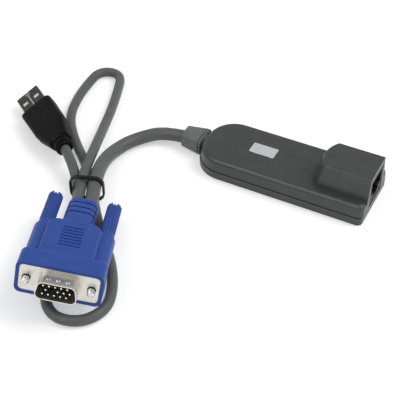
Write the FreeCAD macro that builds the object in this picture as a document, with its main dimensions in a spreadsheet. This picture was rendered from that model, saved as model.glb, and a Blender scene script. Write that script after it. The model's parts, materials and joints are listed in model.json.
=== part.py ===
"""KVM interface adapter: a case with a network socket, and two cables that end in a video plug
and a USB plug. Millimetres. The origin is the middle of the case's underside, +X runs along
the case to the socket, +Y to its back, +Z up. Each plug is drawn about its own mating axis,
local +Z, and is then laid down where its cable leaves it.
"""

import FreeCAD
import Part
import Sketcher
import math
import os
import re
from FreeCAD import Placement, Rotation, Vector

# Every driving size: its name in the sheet, its value and what it is.
SIZES = [
    # Case
    ("case_length", 81.0, "case, end to end"),
    ("case_width", 32.0, "lower cover, front to back"),
    ("end_round", 13.5, "plan radius of the corners at the cable end"),
    ("corner_round", 2.5, "plan radius of the corners at the socket end"),
    ("base_height", 3.9, "lower cover, table to rim"),
    ("seam_gap", 0.3, "groove between the covers"),
    ("upper_inset", 0.3, "step in from the lower cover to the upper one"),
    ("body_top", 9.7, "height of the flat top"),
    ("side_draft", 9.0, "draft of the upper cover's sides, degrees"),
    ("top_round", 2.1, "radius of the flat top's edge"),
    ("round_follow", 0.6, "share of an inset by which a plan corner's radius shrinks"),
    ("base_round", 0.6, "radius of the lower cover's bottom edge"),
    ("case_wall", 1.5, "lower cover's side wall"),
    ("case_floor", 1.3, "lower cover's floor"),
    ("case_roof", 1.4, "upper cover's top wall"),
    ("lip_depth", 1.0, "lip of the upper cover inside the lower one"),
    ("lip_wall", 0.7, "thickness of that lip"),
    ("fit_gap", 0.1, "gap at a fit between two moulded pieces"),
    ("end_trim", 4.0, "upper cover drawn past its end, before it is trimmed"),
    ("cut_margin", 1.0, "how far a cut runs outside what it cuts"),
    ("corner_reach", 2.0, "upright edges of the socket end, this near to a side"),
    # Socket housing, the raised block
    ("block_top", 20.4, "height of the block"),
    ("block_foot_width", 21.0, "block, front to back, at the flat top"),
    ("block_top_width", 17.4, "block, front to back, at its top"),
    ("block_foot_length", 28.4, "block at its foot, from the socket end"),
    ("block_top_length", 23.9, "block at its top, from the socket end"),
    ("block_bow", 14.0, "plan radius of the block's bowed wall"),
    ("block_side_round", 1.6, "radius where the bowed wall meets the sides"),
    ("block_edge_round", 0.7, "radius of the block's top edge"),
    ("block_wall", 1.2, "wall of the block"),
    ("block_bow_wall", 1.9, "wall of the bowed end at its foot"),
    ("block_head_ease", 0.4, "how much wider the hollow stays under the block's top"),
    ("block_sink", 2.0, "how far below the flat top the block's foot starts"),
    # Network socket
    ("socket_width", 14.2, "moulded body"),
    ("socket_height", 13.2, "moulded body"),
    ("socket_depth", 15.8, "moulded body"),
    ("socket_recess", 0.2, "socket's face behind the end of the case"),
    ("port_width", 11.8, "opening for the plug"),
    ("port_height", 6.9, "opening for the plug, without the latch steps"),
    ("port_depth", 12.4, "opening for the plug"),
    ("port_roof", 1.7, "wall above the opening"),
    ("latch_width", 6.3, "step for the latch"),
    ("latch_height", 2.0, "step for the latch"),
    ("catch_width", 3.6, "lower step for the latch's end"),
    ("catch_height", 1.0, "lower step for the latch's end"),
    ("catch_stop", 4.0, "how much less deep that lower step is"),
    ("shield_sheet", 0.25, "sheet of the socket's shield"),
    ("contact_count", 8, "contacts in the socket"),
    ("contact_pitch", 1.02, "pitch of the contacts"),
    ("contact_width", 0.45, "width of a contact"),
    ("contact_sheet", 0.3, "thickness of a contact"),
    ("contact_drop", 2.6, "how far a contact slopes into the opening"),
    ("contact_front", 2.0, "contacts, behind the socket's face"),
    ("contact_flat", 2.5, "flat part of a contact under the roof"),
    ("contact_end", 1.5, "contacts, in front of the opening's end"),
    ("contact_tip", 0.39, "height of a contact's free end"),
    # Circuit board
    ("board_thick", 1.6, "board"),
    ("board_under", 3.0, "underside of the board above the table"),
    ("board_gap", 0.3, "gap between the board and the case"),
    ("board_end", 2.4, "gap between the board and the cable end's wall"),
    ("board_round", 9.0, "corners of the board at the cable end"),
    ("board_corner", 0.8, "corners of the board at the socket end"),
    ("post_radius", 1.6, "posts that carry the board"),
    ("post_spacing_long", 52.0, "posts, along the case"),
    ("post_spacing_wide", 17.0, "posts, across the case"),
    ("chip_side", 14.0, "controller chip"),
    ("chip_thick", 1.5, "controller chip"),
    ("chip_place", -1.0, "controller chip, along the board"),
    ("buffer_length", 9.0, "video buffer chip"),
    ("buffer_width", 4.5, "video buffer chip"),
    ("buffer_thick", 1.4, "video buffer chip"),
    ("rear_place", -17.0, "video buffer and crystal, along the board"),
    ("rear_row", 6.0, "video buffer and crystal, either side of the middle"),
    ("crystal_length", 8.6, "clock crystal"),
    ("crystal_width", 3.6, "clock crystal"),
    ("crystal_thick", 2.8, "clock crystal"),
    ("can_diameter", 4.0, "electrolytic capacitors"),
    ("can_thick", 3.2, "electrolytic capacitors"),
    ("can_place", 10.0, "capacitors, along the board"),
    ("can_row", 9.0, "capacitors near the socket, from the middle"),
    ("can_rear_row", 10.0, "capacitor at the cable end, from the middle"),
    ("can_pitch", 6.0, "between the two capacitors side by side"),
    ("header_length", 16.0, "cable header, across the board"),
    ("header_width", 4.6, "cable header, along the board"),
    ("header_thick", 3.2, "cable header"),
    ("header_place", 5.0, "cable header, from the board's end"),
    # Cables and the boot
    ("video_cable_diameter", 6.0, "diameter of the video cable"),
    ("usb_cable_diameter", 4.5, "diameter of the USB cable"),
    ("cable_height", 4.85, "video cable's middle above the table at the case"),
    ("cable_entry", 1.6, "video cable's end inside the case"),
    ("cable_straight", 5.8, "straight run of each cable outside its plug"),
    ("boot_length", 10.1, "boot outside the case"),
    ("boot_width", 12.2, "boot at the case"),
    ("boot_height", 8.6, "boot at the case"),
    ("boot_round", 2.6, "long edges of the boot at the case"),
    ("boot_end_width", 8.8, "boot's free end"),
    ("boot_end_height", 7.6, "boot's free end"),
    ("boot_end_round", 2.2, "long edges of the boot at its free end"),
    ("boot_collar", 0.7, "collar of the boot against the case"),
    ("boot_groove", 0.6, "groove behind the collar"),
    ("boot_groove_depth", 0.5, "depth of that groove"),
    ("boot_neck", 6.9, "boot's diameter in the wall of the case"),
    ("boot_flange", 10.0, "width of the flange inside the case"),
    ("boot_flange_thick", 1.4, "thickness of the flange inside the case"),
    ("boot_flange_back", 0.6, "flange behind the wall, clear of its round corners"),
    # Video plug
    ("video_x", -45.43, "middle of the video plug's flange"),
    ("video_y", -112.89, "middle of the video plug's flange"),
    ("video_z", 16.53, "middle of the video plug's flange"),
    ("video_yaw", 20.21, "lie of the video plug, degrees"),
    ("video_pitch", 9.63, "lie of the video plug, degrees"),
    ("video_roll", 81.8, "lie of the video plug, degrees"),
    ("screw_spacing", 24.99, "between the two jackscrews"),
    ("flange_width", 30.8, "video plug's flange"),
    ("flange_height", 12.5, "video plug's flange"),
    ("flange_sheet", 0.8, "video plug's flange"),
    ("flange_round", 1.8, "corners of the flange"),
    ("flange_hole", 3.4, "holes for the jackscrews"),
    ("shell_width", 16.9, "shell at its wide side, outside"),
    ("shell_height", 8.3, "shell, outside"),
    ("shell_depth", 5.9, "shell in front of the flange"),
    ("shell_sheet", 0.45, "sheet of the shell"),
    ("shell_round", 2.5, "corners of the shell, outside"),
    ("shell_slant", 10.0, "slant of the shell's sides, degrees"),
    ("collar_step", 0.7, "how far the collar stands out round the shell"),
    ("collar_depth", 0.6, "depth of the collar"),
    ("dimple_radius", 0.9, "grounding dimples on the shell"),
    ("dimple_height", 0.4, "grounding dimples on the shell"),
    ("dimple_spacing", 3.7, "grounding dimples on the shell"),
    ("dimple_place", 2.9, "grounding dimples, in front of the flange"),
    ("pin_diameter", 0.78, "contact pins"),
    ("pin_pitch", 2.29, "pins, along a row"),
    ("pin_rows", 1.98, "between two rows of pins"),
    ("pin_reach", 5.2, "pins in front of the flange"),
    ("pin_tail", 9.0, "pins behind the flange"),
    ("core_width", 19.4, "insulator behind the flange"),
    ("core_height", 10.6, "insulator behind the flange"),
    ("core_depth", 7.0, "insulator behind the flange"),
    ("hood_lip", 0.3, "rim of the hood in front of the flange"),
    ("hood_rim", 1.4, "rim of the hood round the flange, at the sides"),
    ("hood_rim_thin", 1.2, "rim of the hood round the flange, top and bottom"),
    ("hood_round", 2.6, "corners of the hood's front"),
    ("hood_front", 9.5, "depth of the hood's front"),
    ("hood_width", 21.8, "raised middle of the hood"),
    ("hood_height", 14.2, "raised middle of the hood"),
    ("hood_length", 31.5, "flange to the back of the hood's middle"),
    ("hood_edge", 1.2, "radius of the middle's long edges"),
    ("rim_edge", 1.2, "radius of the hood's front at its back"),
    ("shoulder_round", 4.5, "plan radius of the hood's shoulders"),
    ("sleeve_width", 33.0, "over the two screw sleeves"),
    ("sleeve_height", 9.2, "screw sleeves"),
    ("sleeve_round", 4.2, "long edges of the screw sleeves"),
    ("sleeve_length", 30.5, "flange to the back of the sleeves"),
    ("neck_width", 13.4, "neck, where it leaves the hood"),
    ("neck_height", 9.4, "neck, where it leaves the hood"),
    ("neck_length", 20.0, "neck"),
    ("neck_taper", 0.8, "how much narrower and lower the neck is at its end"),
    ("neck_round", 1.0, "radius of the neck's end"),
    ("neck_corner", 4.2, "long edges of the neck"),
    ("neck_root", 2.0, "neck inside the hood"),
    ("chamber_rear", 1.0, "room behind the pins"),
    ("ring_count", 3, "grooves round the neck"),
    ("ring_pitch", 3.4, "grooves round the neck"),
    ("ring_width", 0.7, "grooves round the neck"),
    ("ring_depth", 0.6, "grooves round the neck"),
    ("ring_start", 3.2, "first groove, from the neck's end"),
    ("rib_count", 7, "grip grooves on the hood"),
    ("rib_pitch", 1.9, "grip grooves on the hood"),
    ("rib_width", 0.8, "grip grooves on the hood"),
    ("rib_length", 8.4, "grip grooves on the hood"),
    ("rib_depth", 0.35, "grip grooves on the hood"),
    ("rib_start", 4.9, "last groove, from the back of the hood's middle"),
    ("cable_depth", 7.0, "how far each cable goes into its plug"),
    ("cable_gap", 0.35, "between the two cables in the neck"),
    # Thumbscrews
    ("knob_diameter", 6.2, "fluted grip"),
    ("knob_length", 23.8, "grip"),
    ("knob_gap", 0.3, "between the grip and its sleeve"),
    ("knob_edge", 0.5, "chamfer of the grip's end"),
    ("knob_slot_width", 1.8, "slot in the end of the grip"),
    ("knob_slot_depth", 1.5, "slot in the end of the grip"),
    ("flute_count", 14, "flutes round the grip"),
    ("flute_radius", 0.42, "flutes round the grip"),
    ("flute_length", 20.0, "flutes round the grip"),
    ("shank_diameter", 5.2, "smooth shank in the sleeve"),
    ("shank_length", 14.0, "smooth shank in the sleeve"),
    ("shank_gap", 0.1, "running gap round the shank"),
    ("jack_diameter", 2.84, "jackscrew's tip, number 4 thread"),
    ("jack_shank", 2.4, "jackscrew behind its tip"),
    ("jack_reach", 3.0, "jackscrew in front of the flange"),
    ("jack_tip", 2.5, "length of the jackscrew's tip"),
    ("jack_grip", 12.0, "jackscrew inside the grip"),
    ("jack_slot_width", 0.6, "slot in the jackscrew's tip"),
    ("jack_slot_depth", 0.7, "slot in the jackscrew's tip"),
    ("jack_chamfer", 0.6, "chamfer of the jackscrew's tip"),
    # USB plug
    ("usb_x", -120.97, "middle of the USB shell where it leaves the grip"),
    ("usb_y", -15.27, "middle of the USB shell where it leaves the grip"),
    ("usb_z", 6.95, "middle of the USB shell where it leaves the grip"),
    ("usb_yaw", -124.46, "lie of the USB plug, degrees"),
    ("usb_pitch", 28.28, "lie of the USB plug, degrees"),
    ("usb_roll", 93.48, "lie of the USB plug, degrees"),
    ("usb_width", 12.0, "shell"),
    ("usb_height", 4.5, "shell"),
    ("usb_sheet", 0.3, "shell"),
    ("usb_reach", 11.5, "shell outside the grip"),
    ("usb_root", 6.0, "shell inside the grip"),
    ("usb_corner", 0.5, "corners of the shell"),
    ("window_width", 2.7, "latch windows"),
    ("window_length", 2.3, "latch windows"),
    ("window_spacing", 6.4, "latch windows, middle to middle"),
    ("window_back", 6.3, "latch windows, from the nose"),
    ("tongue_thick", 1.9, "tongue in the shell"),
    ("tongue_recess", 0.6, "tongue behind the nose"),
    ("tongue_root", 1.0, "tongue's root block behind the grip's face"),
    ("blade_width", 1.2, "contacts on the tongue"),
    ("blade_thick", 0.12, "contacts on the tongue"),
    ("blade_inner", 2.0, "between the two middle contacts"),
    ("blade_outer", 7.0, "between the two outer contacts"),
    ("blade_back", 1.0, "outer contacts behind the tongue's end"),
    ("blade_step", 1.0, "inner contacts behind the outer ones"),
    ("grip_width", 16.4, "grip"),
    ("grip_height", 8.2, "grip"),
    ("grip_round", 2.1, "long edges of the grip"),
    ("grip_nose", 2.0, "sloped front of the grip"),
    ("grip_nose_inset", 1.3, "sloped front of the grip"),
    ("grip_straight", 19.5, "shell end to the start of the grip's taper"),
    ("grip_waist_width", 15.7, "grip where its taper starts"),
    ("grip_length", 30.5, "shell end to the end of the grip's taper"),
    ("grip_tail_width", 9.8, "end of the grip's taper"),
    ("grip_tail_height", 7.2, "end of the grip's taper"),
    ("grip_tail_round", 2.6, "end of the grip's taper"),
    ("relief_diameter", 8.2, "ringed relief behind the grip"),
    ("relief_length", 5.8, "ringed relief behind the grip"),
    ("relief_root", 3.0, "ringed relief inside the grip's taper"),
    ("relief_edge", 0.8, "chamfer of the relief's end"),
    ("relief_groove", 1.0, "width of the grooves in the relief"),
    ("relief_groove_depth", 0.8, "depth of the grooves in the relief"),
    ("relief_groove_count", 2, "grooves in the relief"),
    ("relief_groove_pitch", 2.4, "grooves in the relief"),
    # Tie round the cables
    ("tie_x", -71.05, "middle of the tie"),
    ("tie_y", -52.3, "middle of the tie"),
    ("tie_yaw", 19.0, "turn of the tie about the vertical, degrees"),
    ("tie_wire", 0.8, "thickness and width of the tie"),
    ("tie_width", 13.6, "tie, inside"),
    ("tie_height", 11.0, "tie, inside"),
    ("tie_round", 3.2, "corners of the tie, inside"),
    ("tie_turn", 0.9, "between the tie's two turns"),
]

# Sizes that follow from others.
DERIVED = [
    ("upper_start", "=base_height + seam_gap"),
    ("inside_inset", "=case_wall + fit_gap + lip_wall"),
    ("board_top", "=board_under + board_thick"),
    ("socket_face", "=case_length / 2 - socket_recess"),
    ("port_top", "=board_top + socket_height - port_roof"),
    ("half_spacing", "=screw_spacing / 2"),
    ("neck_end", "=hood_length + neck_length"),
    ("neck_half_gap", "=(video_cable_diameter + usb_cable_diameter) / 2 + cable_gap"),
    ("video_hole", "=neck_half_gap * usb_cable_diameter / (video_cable_diameter + usb_cable_diameter)"),
    ("usb_hole", "=neck_half_gap * video_cable_diameter / (video_cable_diameter + usb_cable_diameter)"),
    ("shank_back", "=sleeve_length + knob_gap"),
    ("knob_back", "=shank_back + knob_length"),
    ("usb_back", "=grip_length + relief_length"),
]

doc = FreeCAD.newDocument("kvm_adapter")
sheet = doc.addObject("Spreadsheet::Sheet", "Sizes")
for row, (alias, value, meaning) in enumerate(SIZES + [d + ("",) for d in DERIVED], start=1):
    sheet.set(f"A{row}", alias)
    sheet.set(f"B{row}", str(value))
    sheet.set(f"C{row}", meaning)
    sheet.setAlias(f"B{row}", alias)
doc.recompute()


def bound(formula):
    """The formula as an object outside the sheet writes it, with the sheet's name on each size."""
    return re.sub(r"\b([a-z]+(?:_[a-z]+)+)\b", r"Sizes.\1", formula)


def size(formula):
    """The value of a formula of sizes."""
    return float(sheet.evalExpression(bound(formula)))


def lie(part, x="0", y="0", z="0", yaw="0", pitch="0", roll="0"):
    """Binds a part's Placement to formulas."""
    part.setExpression(
        "Placement",
        bound(f"placement(vector({x}; {y}; {z}); rotation({yaw}; {pitch}; {roll}))"),
    )


class Profile:
    """A sketch on one of its body's own origin planes, held by constraints with formulas."""

    def __init__(self, body, name, plane="XY_Plane", offset="0"):
        self.sketch = body.newObject("Sketcher::SketchObject", name)
        origin_plane = next(f for f in body.Origin.OriginFeatures if f.Role == plane)
        self.sketch.AttachmentSupport = [(origin_plane, "")]
        self.sketch.MapMode = "FlatFace"
        self.sketch.setExpression("AttachmentOffset.Base.z", bound(offset))

    def hold(self, kind, *where, formula):
        """Adds a constraint whose value is a formula."""
        index = self.sketch.addConstraint(Sketcher.Constraint(kind, *where, size(formula)))
        self.sketch.setExpression(f"Constraints[{index}]", bound(formula))

    def reach(self, kind, item, point, formula):
        """Holds a point's distance from the origin along an axis, on either side of it."""
        value = size(formula)
        if abs(value) < 1e-9:
            axis = -2 if kind == "DistanceX" else -1
            self.sketch.addConstraint(Sketcher.Constraint("PointOnObject", item, point, axis))
        elif value > 0:
            self.hold(kind, -1, 1, item, point, formula=formula)
        else:
            self.hold(kind, item, point, -1, 1, formula=f"-({formula})")

    def chain(self, geometry, joint="Tangent"):
        """Adds the pieces of a closed outline, each joined to the next; gives their indices."""
        items = [self.sketch.addGeometry(piece, False) for piece in geometry]
        for item, following in zip(items, items[1:] + items[:1]):
            self.sketch.addConstraint(Sketcher.Constraint(joint, item, 2, following, 1))
        return items

    def plate(self, left, right, front, back, *rounds):
        """A rectangle with one radius, or one each from the front right corner on."""
        rounds = rounds * 4 if len(rounds) == 1 else rounds
        x0, x1, y0, y1 = (size(side) for side in (left, right, front, back))
        a, b, c, d = (size(corner) for corner in rounds)

        def corner(x, y, radius, start):
            circle = Part.Circle(Vector(x, y, 0), Vector(0, 0, 1), radius)
            return Part.ArcOfCircle(circle, start, start + math.pi / 2)

        items = self.chain(
            [
                Part.LineSegment(Vector(x0 + d, y0, 0), Vector(x1 - a, y0, 0)),
                corner(x1 - a, y0 + a, a, -math.pi / 2),
                Part.LineSegment(Vector(x1, y0 + a, 0), Vector(x1, y1 - b, 0)),
                corner(x1 - b, y1 - b, b, 0),
                Part.LineSegment(Vector(x1 - b, y1, 0), Vector(x0 + c, y1, 0)),
                corner(x0 + c, y1 - c, c, math.pi / 2),
                Part.LineSegment(Vector(x0, y1 - c, 0), Vector(x0, y0 + d, 0)),
                corner(x0 + d, y0 + d, d, math.pi),
            ]
        )
        for side, kind in ((0, "Horizontal"), (2, "Vertical"), (4, "Horizontal"), (6, "Vertical")):
            self.sketch.addConstraint(Sketcher.Constraint(kind, items[side]))
        self.reach("DistanceY", items[0], 1, front)
        self.reach("DistanceX", items[2], 1, right)
        self.reach("DistanceY", items[4], 1, back)
        self.reach("DistanceX", items[6], 1, left)
        for item, radius in zip(items[1::2], rounds):
            self.hold("Radius", item, formula=radius)
        return self

    def oblong(self, width, height, radius):
        """A rounded rectangle about the origin."""
        return self.plate(
            f"-({width}) / 2", f"({width}) / 2", f"-({height}) / 2", f"({height}) / 2", radius
        )

    def rectangle(self, left, right, front, back):
        """A rectangle; its sides are formulas."""
        x0, x1, y0, y1 = (size(side) for side in (left, right, front, back))
        corners = [Vector(x0, y0, 0), Vector(x1, y0, 0), Vector(x1, y1, 0), Vector(x0, y1, 0)]
        items = self.chain(
            [Part.LineSegment(a, b) for a, b in zip(corners, corners[1:] + corners[:1])],
            "Coincident",
        )
        for side, kind in enumerate(("Horizontal", "Vertical", "Horizontal", "Vertical")):
            self.sketch.addConstraint(Sketcher.Constraint(kind, items[side]))
        self.reach("DistanceY", items[0], 1, front)
        self.reach("DistanceX", items[1], 1, right)
        self.reach("DistanceY", items[2], 1, back)
        self.reach("DistanceX", items[3], 1, left)
        return self

    def circle(self, radius, x="0", y="0"):
        """A circle; its centre and radius are formulas."""
        centre = Vector(size(x), size(y), 0)
        item = self.sketch.addGeometry(
            Part.Circle(centre, Vector(0, 0, 1), size(radius)), False
        )
        self.reach("DistanceX", item, 3, x)
        self.reach("DistanceY", item, 3, y)
        self.hold("Radius", item, formula=radius)
        return self

    def bowed(self, end, length, width, bow):
        """A block's plan: square at x = end, bowed by the radius at the other side."""
        x1, half, radius = size(end), size(width) / 2, size(bow)
        centre = x1 - size(length) + radius
        corner = centre - math.sqrt(radius**2 - half**2)
        middle = centre - radius
        items = self.chain(
            [
                Part.LineSegment(Vector(corner, -half, 0), Vector(x1, -half, 0)),
                Part.LineSegment(Vector(x1, -half, 0), Vector(x1, half, 0)),
                Part.LineSegment(Vector(x1, half, 0), Vector(corner, half, 0)),
                Part.Arc(Vector(corner, half, 0), Vector(middle, 0, 0), Vector(corner, -half, 0)),
            ],
            "Coincident",
        )
        for side, kind in enumerate(("Horizontal", "Vertical", "Horizontal")):
            self.sketch.addConstraint(Sketcher.Constraint(kind, items[side]))
        self.sketch.addConstraint(Sketcher.Constraint("PointOnObject", items[3], 3, -1))
        self.reach("DistanceX", items[1], 1, end)
        self.reach("DistanceY", items[0], 1, f"-({width}) / 2")
        self.reach("DistanceX", items[3], 3, f"{end} - ({length}) + ({bow})")
        self.hold("Radius", items[3], formula=bow)
        return self

    def shell_outline(self, grow):
        """The D outline of a video plug, wide side down, grown by a formula."""
        width, height = f"shell_width + 2 * ({grow})", f"shell_height + 2 * ({grow})"
        radius = f"shell_round + ({grow})"
        slant = math.radians(size("shell_slant"))
        half, top, r = size(width) / 2, size(height) / 2, size(radius)
        narrow = half - 2 * top * math.tan(slant)
        corners = [(half, -top), (narrow, top), (-narrow, top), (-half, -top)]
        pieces = []
        for index, (x, y) in enumerate(corners):
            before, after = corners[index - 1], corners[(index + 1) % 4]
            inward = Vector(before[0] - x, before[1] - y, 0).normalize()
            onward = Vector(after[0] - x, after[1] - y, 0).normalize()
            turn = math.pi - inward.getAngle(onward)
            trim = r * math.tan(turn / 2)
            start, stop = Vector(x, y, 0) + inward * trim, Vector(x, y, 0) + onward * trim
            centre = Vector(x, y, 0) + (inward + onward).normalize() * math.hypot(r, trim)
            outward = (Vector(x, y, 0) - centre).normalize() * r
            pieces += [(start, centre + outward, stop)]
        lines = [
            Part.LineSegment(a[2], b[0]) for a, b in zip(pieces, pieces[1:] + pieces[:1])
        ]
        outline = []
        for arc, line in zip(pieces, lines):
            outline += [Part.Arc(*arc), line]
        items = self.chain(outline)
        for side in (items[3], items[7]):
            self.sketch.addConstraint(Sketcher.Constraint("Horizontal", side))
        self.reach("DistanceY", items[3], 1, f"({height}) / 2")
        self.reach("DistanceY", items[7], 1, f"-({height}) / 2")
        middle = f"(({width}) / 2 - ({height}) / 2 * tan(shell_slant)) * cos(shell_slant)"
        for side, angle in ((items[1], "90 + shell_slant"), (items[5], "-(90 + shell_slant)")):
            index = self.sketch.addConstraint(
                Sketcher.Constraint("Angle", side, math.radians(size(angle)))
            )
            self.sketch.setExpression(f"Constraints[{index}]", f"({bound(angle)}) * 1 deg")
            self.hold("Distance", -1, 1, side, formula=middle)
        self.hold("Radius", items[0], formula=radius)
        for other in (items[2], items[4], items[6]):
            self.sketch.addConstraint(Sketcher.Constraint("Equal", items[0], other))
        return self

    def pins(self, radius):
        """Fourteen circles in three rows; the middle row lacks its second pin."""
        for level, shift, places in (
            ("pin_rows", "-pin_pitch / 4", (0, 1, 2, 3, 4)),
            ("0", "pin_pitch / 4", (0, 2, 3, 4)),
            ("-pin_rows", "-pin_pitch / 4", (0, 1, 2, 3, 4)),
        ):
            for place in places:
                self.circle(radius, f"{place - 2} * pin_pitch + ({shift})", level)
        return self


def new_body(name):
    return doc.addObject("PartDesign::Body", name)


def pad(body, profile, length, back=False, draft="0"):
    """Adds a profile's extrusion; back turns it against the sketch's normal."""
    feature = body.newObject("PartDesign::Pad", profile.sketch.Name + "_pad")
    feature.Profile = profile.sketch
    feature.Reversed = back
    feature.setExpression("Length", bound(length))
    feature.setExpression("TaperAngle", bound(draft))
    doc.recompute()
    return feature


def pocket(body, profile, length, onward=False, draft="0"):
    """Cuts a profile's extrusion; onward turns it along the sketch's normal."""
    before = body.Shape.Volume
    feature = body.newObject("PartDesign::Pocket", profile.sketch.Name + "_cut")
    feature.Profile = profile.sketch
    feature.Reversed = onward
    feature.setExpression("Length", bound(length))
    feature.setExpression("TaperAngle", bound(draft))
    doc.recompute()
    if not body.Shape.Volume < before:
        raise RuntimeError(f"{feature.Name} cuts nothing")
    return feature


def loft(body, kind, profiles, ruled=True):
    feature = body.newObject(f"PartDesign::{kind}Loft", profiles[0].sketch.Name + "_loft")
    feature.Profile = profiles[0].sketch
    feature.Sections = [profile.sketch for profile in profiles[1:]]
    feature.Ruled = ruled
    doc.recompute()
    return feature


def soften(body, name, radius, chosen, kind="Fillet"):
    """Rounds or chamfers the edges of the body so far that the test picks."""
    base = body.Tip
    names = [f"Edge{i}" for i, edge in enumerate(base.Shape.Edges, start=1) if chosen(edge)]
    if not names:
        raise RuntimeError(f"{name} finds no edge")
    feature = body.newObject(f"PartDesign::{kind}", name)
    feature.Base = (base, names)
    feature.setExpression("Radius" if kind == "Fillet" else "Size", bound(radius))
    doc.recompute()
    if "Invalid" in feature.State:
        raise RuntimeError(f"{name} fails")
    return feature


def repeat(body, originals, name, axis, count, length):
    """Repeats features in a row along one of the body's axes."""
    feature = body.newObject("PartDesign::LinearPattern", name)
    feature.Originals = originals
    feature.Direction = (next(f for f in body.Origin.OriginFeatures if f.Role == axis), [""])
    feature.setExpression("Occurrences", bound(count))
    feature.setExpression("Length", bound(length))
    body.Tip = feature
    doc.recompute()
    return feature


def at_height(z, tolerance=1e-4):
    """A test for edges that lie in the plane at that height."""
    return lambda edge: all(abs(v.Z - z) < tolerance for v in edge.Vertexes) and (
        abs(edge.CenterOfMass.z - z) < tolerance
    )


def box(name, x, y, z, length, width, height):
    """A Part box centred on x and y, with its underside at z."""
    solid = doc.addObject("Part::Box", name)
    for prop, formula in (("Length", length), ("Width", width), ("Height", height)):
        solid.setExpression(prop, bound(formula))
    lie(solid, f"{x} - ({length}) / 2", f"{y} - ({width}) / 2", z)
    return solid


def cut(name, base, tool):
    """A Part boolean: one solid less another."""
    solid = doc.addObject("Part::Cut", name)
    solid.Base, solid.Tool = base, tool
    doc.recompute()
    return solid


def lie_at(part, plug, sideways="0"):
    """Lays a plug's part where the plug lies, moved along the plug's local X."""
    yaw, pitch, roll = (f"{plug}_{angle}" for angle in ("yaw", "pitch", "roll"))
    part.setExpression(
        "Placement",
        bound(
            f"placement(vector({plug}_x; {plug}_y; {plug}_z); rotation({yaw}; {pitch}; {roll}))"
            f" * placement(vector({sideways}; 0; 0); rotation(0; 0; 0))"
        ),
    )


# ---------------------------------------------------------------- case
def case_plate(body, name, offset, inset, end="0"):
    """The case's plan outline, inset all round; end moves the socket end alone."""
    return Profile(body, name, offset=offset).plate(
        f"-case_length / 2 + ({inset})",
        f"case_length / 2 - ({inset}) + {end}",
        f"-case_width / 2 + ({inset})",
        f"case_width / 2 - ({inset})",
        *[f"corner_round - ({inset}) * round_follow"] * 2,
        *[f"end_round - ({inset}) * round_follow"] * 2,
    )


def cable_hole(body, name):
    """Cuts the round hole for the boot's neck through the wall at the cable end."""
    hole = Profile(body, name, "YZ_Plane", "-case_length / 2 - cut_margin")
    hole.circle("boot_neck / 2 + fit_gap / 2", "0", "cable_height")
    pocket(body, hole, "inside_inset + 2 * cut_margin", onward=True)


def build_lower_cover():
    body = new_body("lower_cover")
    pad(body, case_plate(body, "tray", "0", "0"), "base_height")
    soften(body, "tray_edge", "base_round", at_height(0))
    pocket(body, case_plate(body, "well", "base_height", "case_wall"), "base_height - case_floor")
    posts = Profile(body, "posts", offset="case_floor")
    for x in ("-post_spacing_long / 2", "post_spacing_long / 2"):
        for y in ("-post_spacing_wide / 2", "post_spacing_wide / 2"):
            posts.circle("post_radius", x, y)
    pad(body, posts, "board_under - case_floor")
    cable_hole(body, "cable_hole_lower")
    return body


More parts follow.
